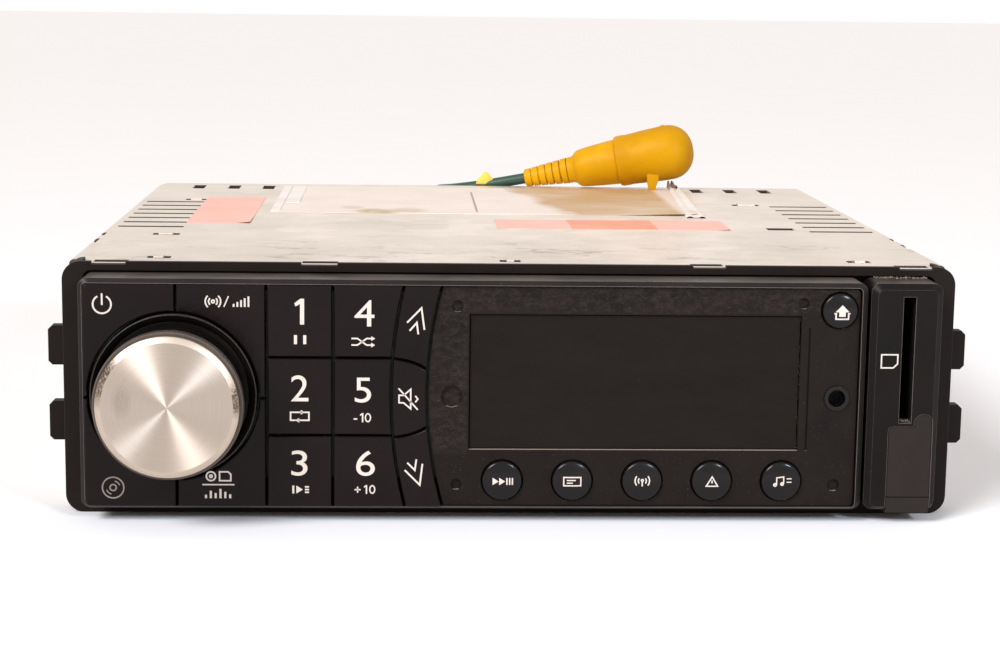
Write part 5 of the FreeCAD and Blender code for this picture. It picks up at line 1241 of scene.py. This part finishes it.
# %% Labels
def label(name, outline_mm, material, lift=0.0, seed=3, sheet_mm=0.09, cells=(26, 14)):
    """A paper label on the lid: x and y ranges, with its far right corner lifting."""
    x0, x1, y0, y1 = outline_mm
    columns, rows = cells
    rng = random.Random(seed)
    across, along, _ = (rng.uniform(0.0, 6.28) for _ in range(3))
    bm = bmesh.new()
    grid = []
    for row in range(rows + 1):
        v = row / rows
        line = []
        for column in range(columns + 1):
            u = column / columns
            corner = max(0.0, 1.0 - math.hypot((1.0 - u) * 5.0, v * 4.0)) * lift
            wave = 0.015 * (1.0 + math.sin(9.0 * u + across) * math.sin(7.0 * v + along))
            height = COVER_TOP + sheet_mm + wave + corner
            line.append(bm.verts.new(dash(x0 + (x1 - x0) * u, y0 + (y1 - y0) * v, height)))
        grid.append(line)
    for here, there in zip(grid, grid[1:]):
        for column in range(columns):
            bm.faces.new((here[column], here[column + 1], there[column + 1], there[column]))
    thickened(bm, (0.0, 0.0, -sheet_mm * MM))
    place(name, from_bmesh(bm, name, 50.0), material, "chassis")


label("label_pink", (-72.3, -57.5, 73.0, 132.0), pink_paper, 0.3, 3)
label("label_cream", (-54.0, 52.0, 96.0, 161.0), pale_paper, 0.5, 5, 0.12, (48, 24))
label("label_strip_left", (-0.3, 17.0, 66.0, 84.0), pink_paper, 0.0, 7)
label("label_strip_middle", (17.0, 37.0, 66.0, 84.0), orange_paper, 0.0, 9)
label("label_strip_right", (37.0, 54.0, 66.0, 84.0), pink_paper, 0.2, 11)
print("labels: 5")

# %% Tape and the folded strip
def folded_strip(name, start, end, widths, rise, material, base=0.14, steps=24):
    """A loose strip from one point of the lid to another, folded into two low ridges."""
    bm = bmesh.new()
    along = Vector(end) - Vector(start)
    side = Vector((along.y, -along.x)).normalized() / 2.0
    rng = random.Random(17)
    rows = []
    for index in range(steps + 1):
        t = index / steps
        middle = Vector(start) + along * t
        width = widths[0] + (widths[1] - widths[0]) * t
        lift = rise * (0.4 + 0.6 * t ** 2) * (1.0 + 0.12 * math.sin(11.0 * t)) + rng.uniform(0.0, 0.08)
        row = []
        for step, share in enumerate((0.0, 0.9, 1.0, 0.35, 0.3, 0.35, 1.0, 0.9, 0.0)):
            x, y = middle + side * width * (step / 4.0 - 1.0)
            row.append(bm.verts.new(dash(x, y, COVER_TOP + base + lift * share)))
        rows.append(row)
    for before, after in zip(rows, rows[1:]):
        for step in range(8):
            bm.faces.new((before[step], before[step + 1], after[step + 1], after[step]))
    thickened(bm, (0.0, 0.0, -0.1 * MM))
    place(name, from_bmesh(bm, name, 60.0), material, "chassis")


folded_strip("folded_strip", (49.3, 91.0), (52.6, 158.5), (5.0, 3.0), 0.9, tape_film)
folded_strip("strip_tip", (52.2, 157.8), (51.6, 162.6), (2.6, 1.6), 2.2, brown_paper, 0.6, 8)
label("tape_left", (-54.3, -52.1, 97.5, 161.5), tape_film, 0.0, 22, 0.24, (8, 20))
label("tape_left_inner", (-51.7, -48.2, 118.0, 161.0), tape_film, 0.0, 21, 0.24, (8, 20))
# Painted shade: a thin grey strip drawn where the label is creased, standing in for the fold's shade.
label("label_crease", (-4.0, -3.6, 100.0, 148.0), crease_shade_grey, 0.0, 24, 0.24, (2, 20))
print("tape and strips: 5")

# %% [markdown]
# ## Screws
# Small pan-head screws hold the lid's flanges and the rear panel. One head with its cross recess
# is made once and Geometry Nodes set it on every point, turned to face along the point's
# direction.

# %% One screw head
def screw_head(radius_mm, height_mm):
    """A pan head about Z with a cross recess, closed."""
    profile = [(0.0, height_mm), (radius_mm * 0.55, height_mm * 0.96), (radius_mm * 0.85, height_mm * 0.75),
               (radius_mm, height_mm * 0.3), (radius_mm, -0.3), (0.0, -0.3)]
    bm = turned(profile, 28)
    bmesh.ops.transform(bm, matrix=turn(90.0, "X"), verts=bm.verts)
    head = in_scene("screw_head_helper", from_bmesh(bm, "screw_head", 40.0))
    arm = Matrix.Diagonal((radius_mm * 1.15 * MM, radius_mm * 0.26 * MM, 1.0 * MM, 1.0))
    cutters = []
    for degrees in (0.0, 90.0):
        cutter_bm = bmesh.new()
        bmesh.ops.create_cube(cutter_bm, size=1.0)
        on_top = Matrix.Translation((0, 0, height_mm * MM)) @ turn(degrees, "Z") @ arm
        bmesh.ops.transform(cutter_bm, matrix=on_top, verts=cutter_bm.verts)
        cutters.append(in_scene("recess_helper", from_bmesh(cutter_bm, "recess")))
        cut = head.modifiers.new("recess", "BOOLEAN")
        cut.operation = "DIFFERENCE"
        cut.object = cutters[-1]
    mesh = baked(head)
    for cutter in cutters:
        bpy.data.objects.remove(cutter)
    return mesh


def screws_tree():
    tree, given = new_tree("screws_on_points", {
        "Screw": "Object", "Direction": "Vector", "Material": "Material"})
    screw = add(tree, "GeometryNodeObjectInfo", {"Object": given["Screw"]})
    facing = add(tree, "FunctionNodeAlignRotationToVector", {"Vector": given["Direction"]}, axis="Z")
    spin = add(tree, "FunctionNodeRandomValue", {2: 0.0, 3: 6.28, "Seed": 11}, data_type="FLOAT")
    own_turn = add(tree, "FunctionNodeAxisAngleToRotation", {"Axis": (0.0, 0.0, 1.0), "Angle": spin.outputs[1]})
    both = add(tree, "FunctionNodeRotateRotation", {0: facing.outputs[0], 1: own_turn.outputs[0]},
               rotation_space="LOCAL")
    set_on = add(tree, "GeometryNodeInstanceOnPoints", {
        "Points": given["Geometry"], "Instance": screw.outputs["Geometry"], "Rotation": both.outputs[0]})
    return end_tree(tree, set_on.outputs[0], given)


head_mesh = screw_head(2.4, 1.15)
print("screw head faces:", len(head_mesh.polygons))

# %% Screws in their places
head_object = in_scene("screw_source", head_mesh)
screw_tree = screws_tree()
SIDE_SCREWS = (24.0, 96.0, 156.0)
SCREW_ROWS = {
    "screws_right": ((1.0, 0.0, 0.0), [(89.0, y, 43.5) for y in SIDE_SCREWS]),
    "screws_left": ((-1.0, 0.0, 0.0), [(-89.0, y, 43.5) for y in SIDE_SCREWS]),
    "screws_rear": ((0.0, 1.0, 0.0), [(x, 168.5, 46.0) for x in (-78.0, -20.0, 30.0)]),
}
for name, (direction, places) in SCREW_ROWS.items():
    values = {"Screw": head_object, "Direction": direction, "Material": plated_steel}
    mesh = grown(name, screw_tree, values, [dash(*spot) for spot in places])
    place(name, mesh, plated_steel, "chassis")
bpy.data.objects.remove(head_object)
print("screws:", sum(len(row[1]) for row in SCREW_ROWS.values()))

# %% [markdown]
# ## Dust and lint
# Dust gathers where a cloth doesn't reach: on the ledge above the card panel, at the bottom of
# the card slot and along the window's right side. Each crumb is a tiny angular grain; seeded
# points carry it, and Geometry Nodes give every grain its own size and turn.

# %% Crumbs of dust
def crumbs_tree():
    tree, given = new_tree("dust_crumbs", {"Size": "Float", "Seed": "Int", "Material": "Material"})
    grain = add(tree, "GeometryNodeMeshIcoSphere", {"Radius": given["Size"], "Subdivisions": 1})
    own_turn = add(tree, "FunctionNodeRandomValue", {
        0: (0.0, 0.0, 0.0), 1: (6.28, 6.28, 6.28), "Seed": given["Seed"]}, data_type="FLOAT_VECTOR")
    size = add(tree, "FunctionNodeRandomValue", {
        0: (0.4, 0.4, 0.25), 1: (1.6, 1.0, 0.6), "Seed": given["Seed"]}, data_type="FLOAT_VECTOR")
    crumbs = add(tree, "GeometryNodeInstanceOnPoints", {
        "Points": given["Geometry"], "Instance": grain.outputs["Mesh"],
        "Rotation": own_turn.outputs[0], "Scale": size.outputs[0]})
    return end_tree(tree, crumbs.outputs[0], given)


dust_tree = crumbs_tree()
dust_rng = random.Random(29)
DUST_PLACES = {
    "dust_on_ledge": ("chassis", 110, (72.5, 83.2), (-1.6, -0.3), (48.82, 49.1), 0.15),
    "dust_in_card_slot": ("chassis", 60, (77.1, 79.4), (-8.2, -6.4), (20.82, 21.2), 0.13),
    "dust_by_window": ("front_panel", 60, (56.6, 57.0), (-8.0, -7.5), (15.4, 41.8), 0.07),
    "dust_under_window": ("front_panel", 40, (-8.6, 56.8), (-8.0, -7.5), (14.91, 15.05), 0.06),
}
for name, (body, count, xs, ys, zs, size_mm) in DUST_PLACES.items():
    spots = [dash(dust_rng.uniform(*xs), dust_rng.uniform(*ys), dust_rng.uniform(*zs)) for _ in range(count)]
    crumbs = grown(name, dust_tree, {"Size": size_mm * MM, "Seed": 5, "Material": dust_grey}, spots)
    place(name, crumbs, dust_grey, body)
print("dust places:", len(DUST_PLACES))

# %% [markdown]
# ## Stage
# A pale floor, a pale world and three soft lamps. A spun face shows its lamps as spokes, so
# one broad lamp stands above and left of the camera and a narrow one to its right. Together
# they light a plain surface about as its colour is written.

# %% Floor and world
floor_mesh = bpy.data.meshes.new("floor")
floor_mesh.from_pydata([(-6, -6, 0), (6, -6, 0), (6, 6, 0), (-6, 6, 0)], [], [(0, 1, 2, 3)])
table = Finish("pale_table", specular=0.2)
table_tone = table.blend(table.noise(60.0, 5.0), "#fbf9f7", "#fefdfc")
floor_mesh.materials.append(table.done(Base_Color=table_tone, Roughness=0.8))
in_scene("floor", floor_mesh)

world = bpy.data.worlds.new("soft_room")
bpy.context.scene.world = world
world.use_nodes = True
room = world.node_tree
room.nodes.clear()
sky = add(room, "ShaderNodeBackground", {"Color": colour("#fff7f0"), "Strength": 0.52})
white = add(room, "ShaderNodeBackground", {"Color": colour("#ffffff"), "Strength": 1.0})
path = add(room, "ShaderNodeLightPath").outputs
seen = add(room, "ShaderNodeMath", {0: path["Is Camera Ray"], 1: path["Is Glossy Ray"]}, operation="ADD")
seen = add(room, "ShaderNodeMath", {0: seen.outputs[0], 1: path["Is Transmission Ray"]},
           operation="ADD", use_clamp=True)
either = add(room, "ShaderNodeMixShader", {0: seen.outputs[0], 1: sky.outputs[0], 2: white.outputs[0]})
add(room, "ShaderNodeOutputWorld", {"Surface": either.outputs[0]})
print("floor and world ready")

# %% Lamps
def lamp(name, kind, place_m, target_m, energy, tint, **settings):
    """A lamp of one kind at a place in metres, turned to face its target."""
    light = bpy.data.lights.new(name, kind)
    light.energy = energy
    light.color = colour(tint)[:3]
    for key, value in settings.items():
        setattr(light, key, value)
    obj = in_scene(name, light)
    obj.location = place_m
    obj.rotation_mode = "QUATERNION"
    obj.rotation_quaternion = (Vector(target_m) - Vector(place_m)).to_track_quat("-Z", "Y")


knob_face = dash(KNOB_X, CAP_FACE, KNOB_Z)
lamp("window_light", "SUN", (-0.62, -0.66, 0.72), (0.0, 0.0, 0.0), 2.25, "#fbfbff", angle=math.radians(24.0))
lamp("spoke_lamp_left", "AREA", (-0.58, -0.70, 0.63), knob_face, 2.4, "#e2ecff",
     shape="RECTANGLE", size=0.30, size_y=0.30)
lamp("spoke_lamp_right", "AREA", (0.46, -0.83, 0.46), knob_face, 4.4, "#e2ecff",
     shape="RECTANGLE", size=0.14, size_y=0.14)
print("lamps: 3")

# %% View transform
bpy.context.scene.view_settings.view_transform = "Standard"
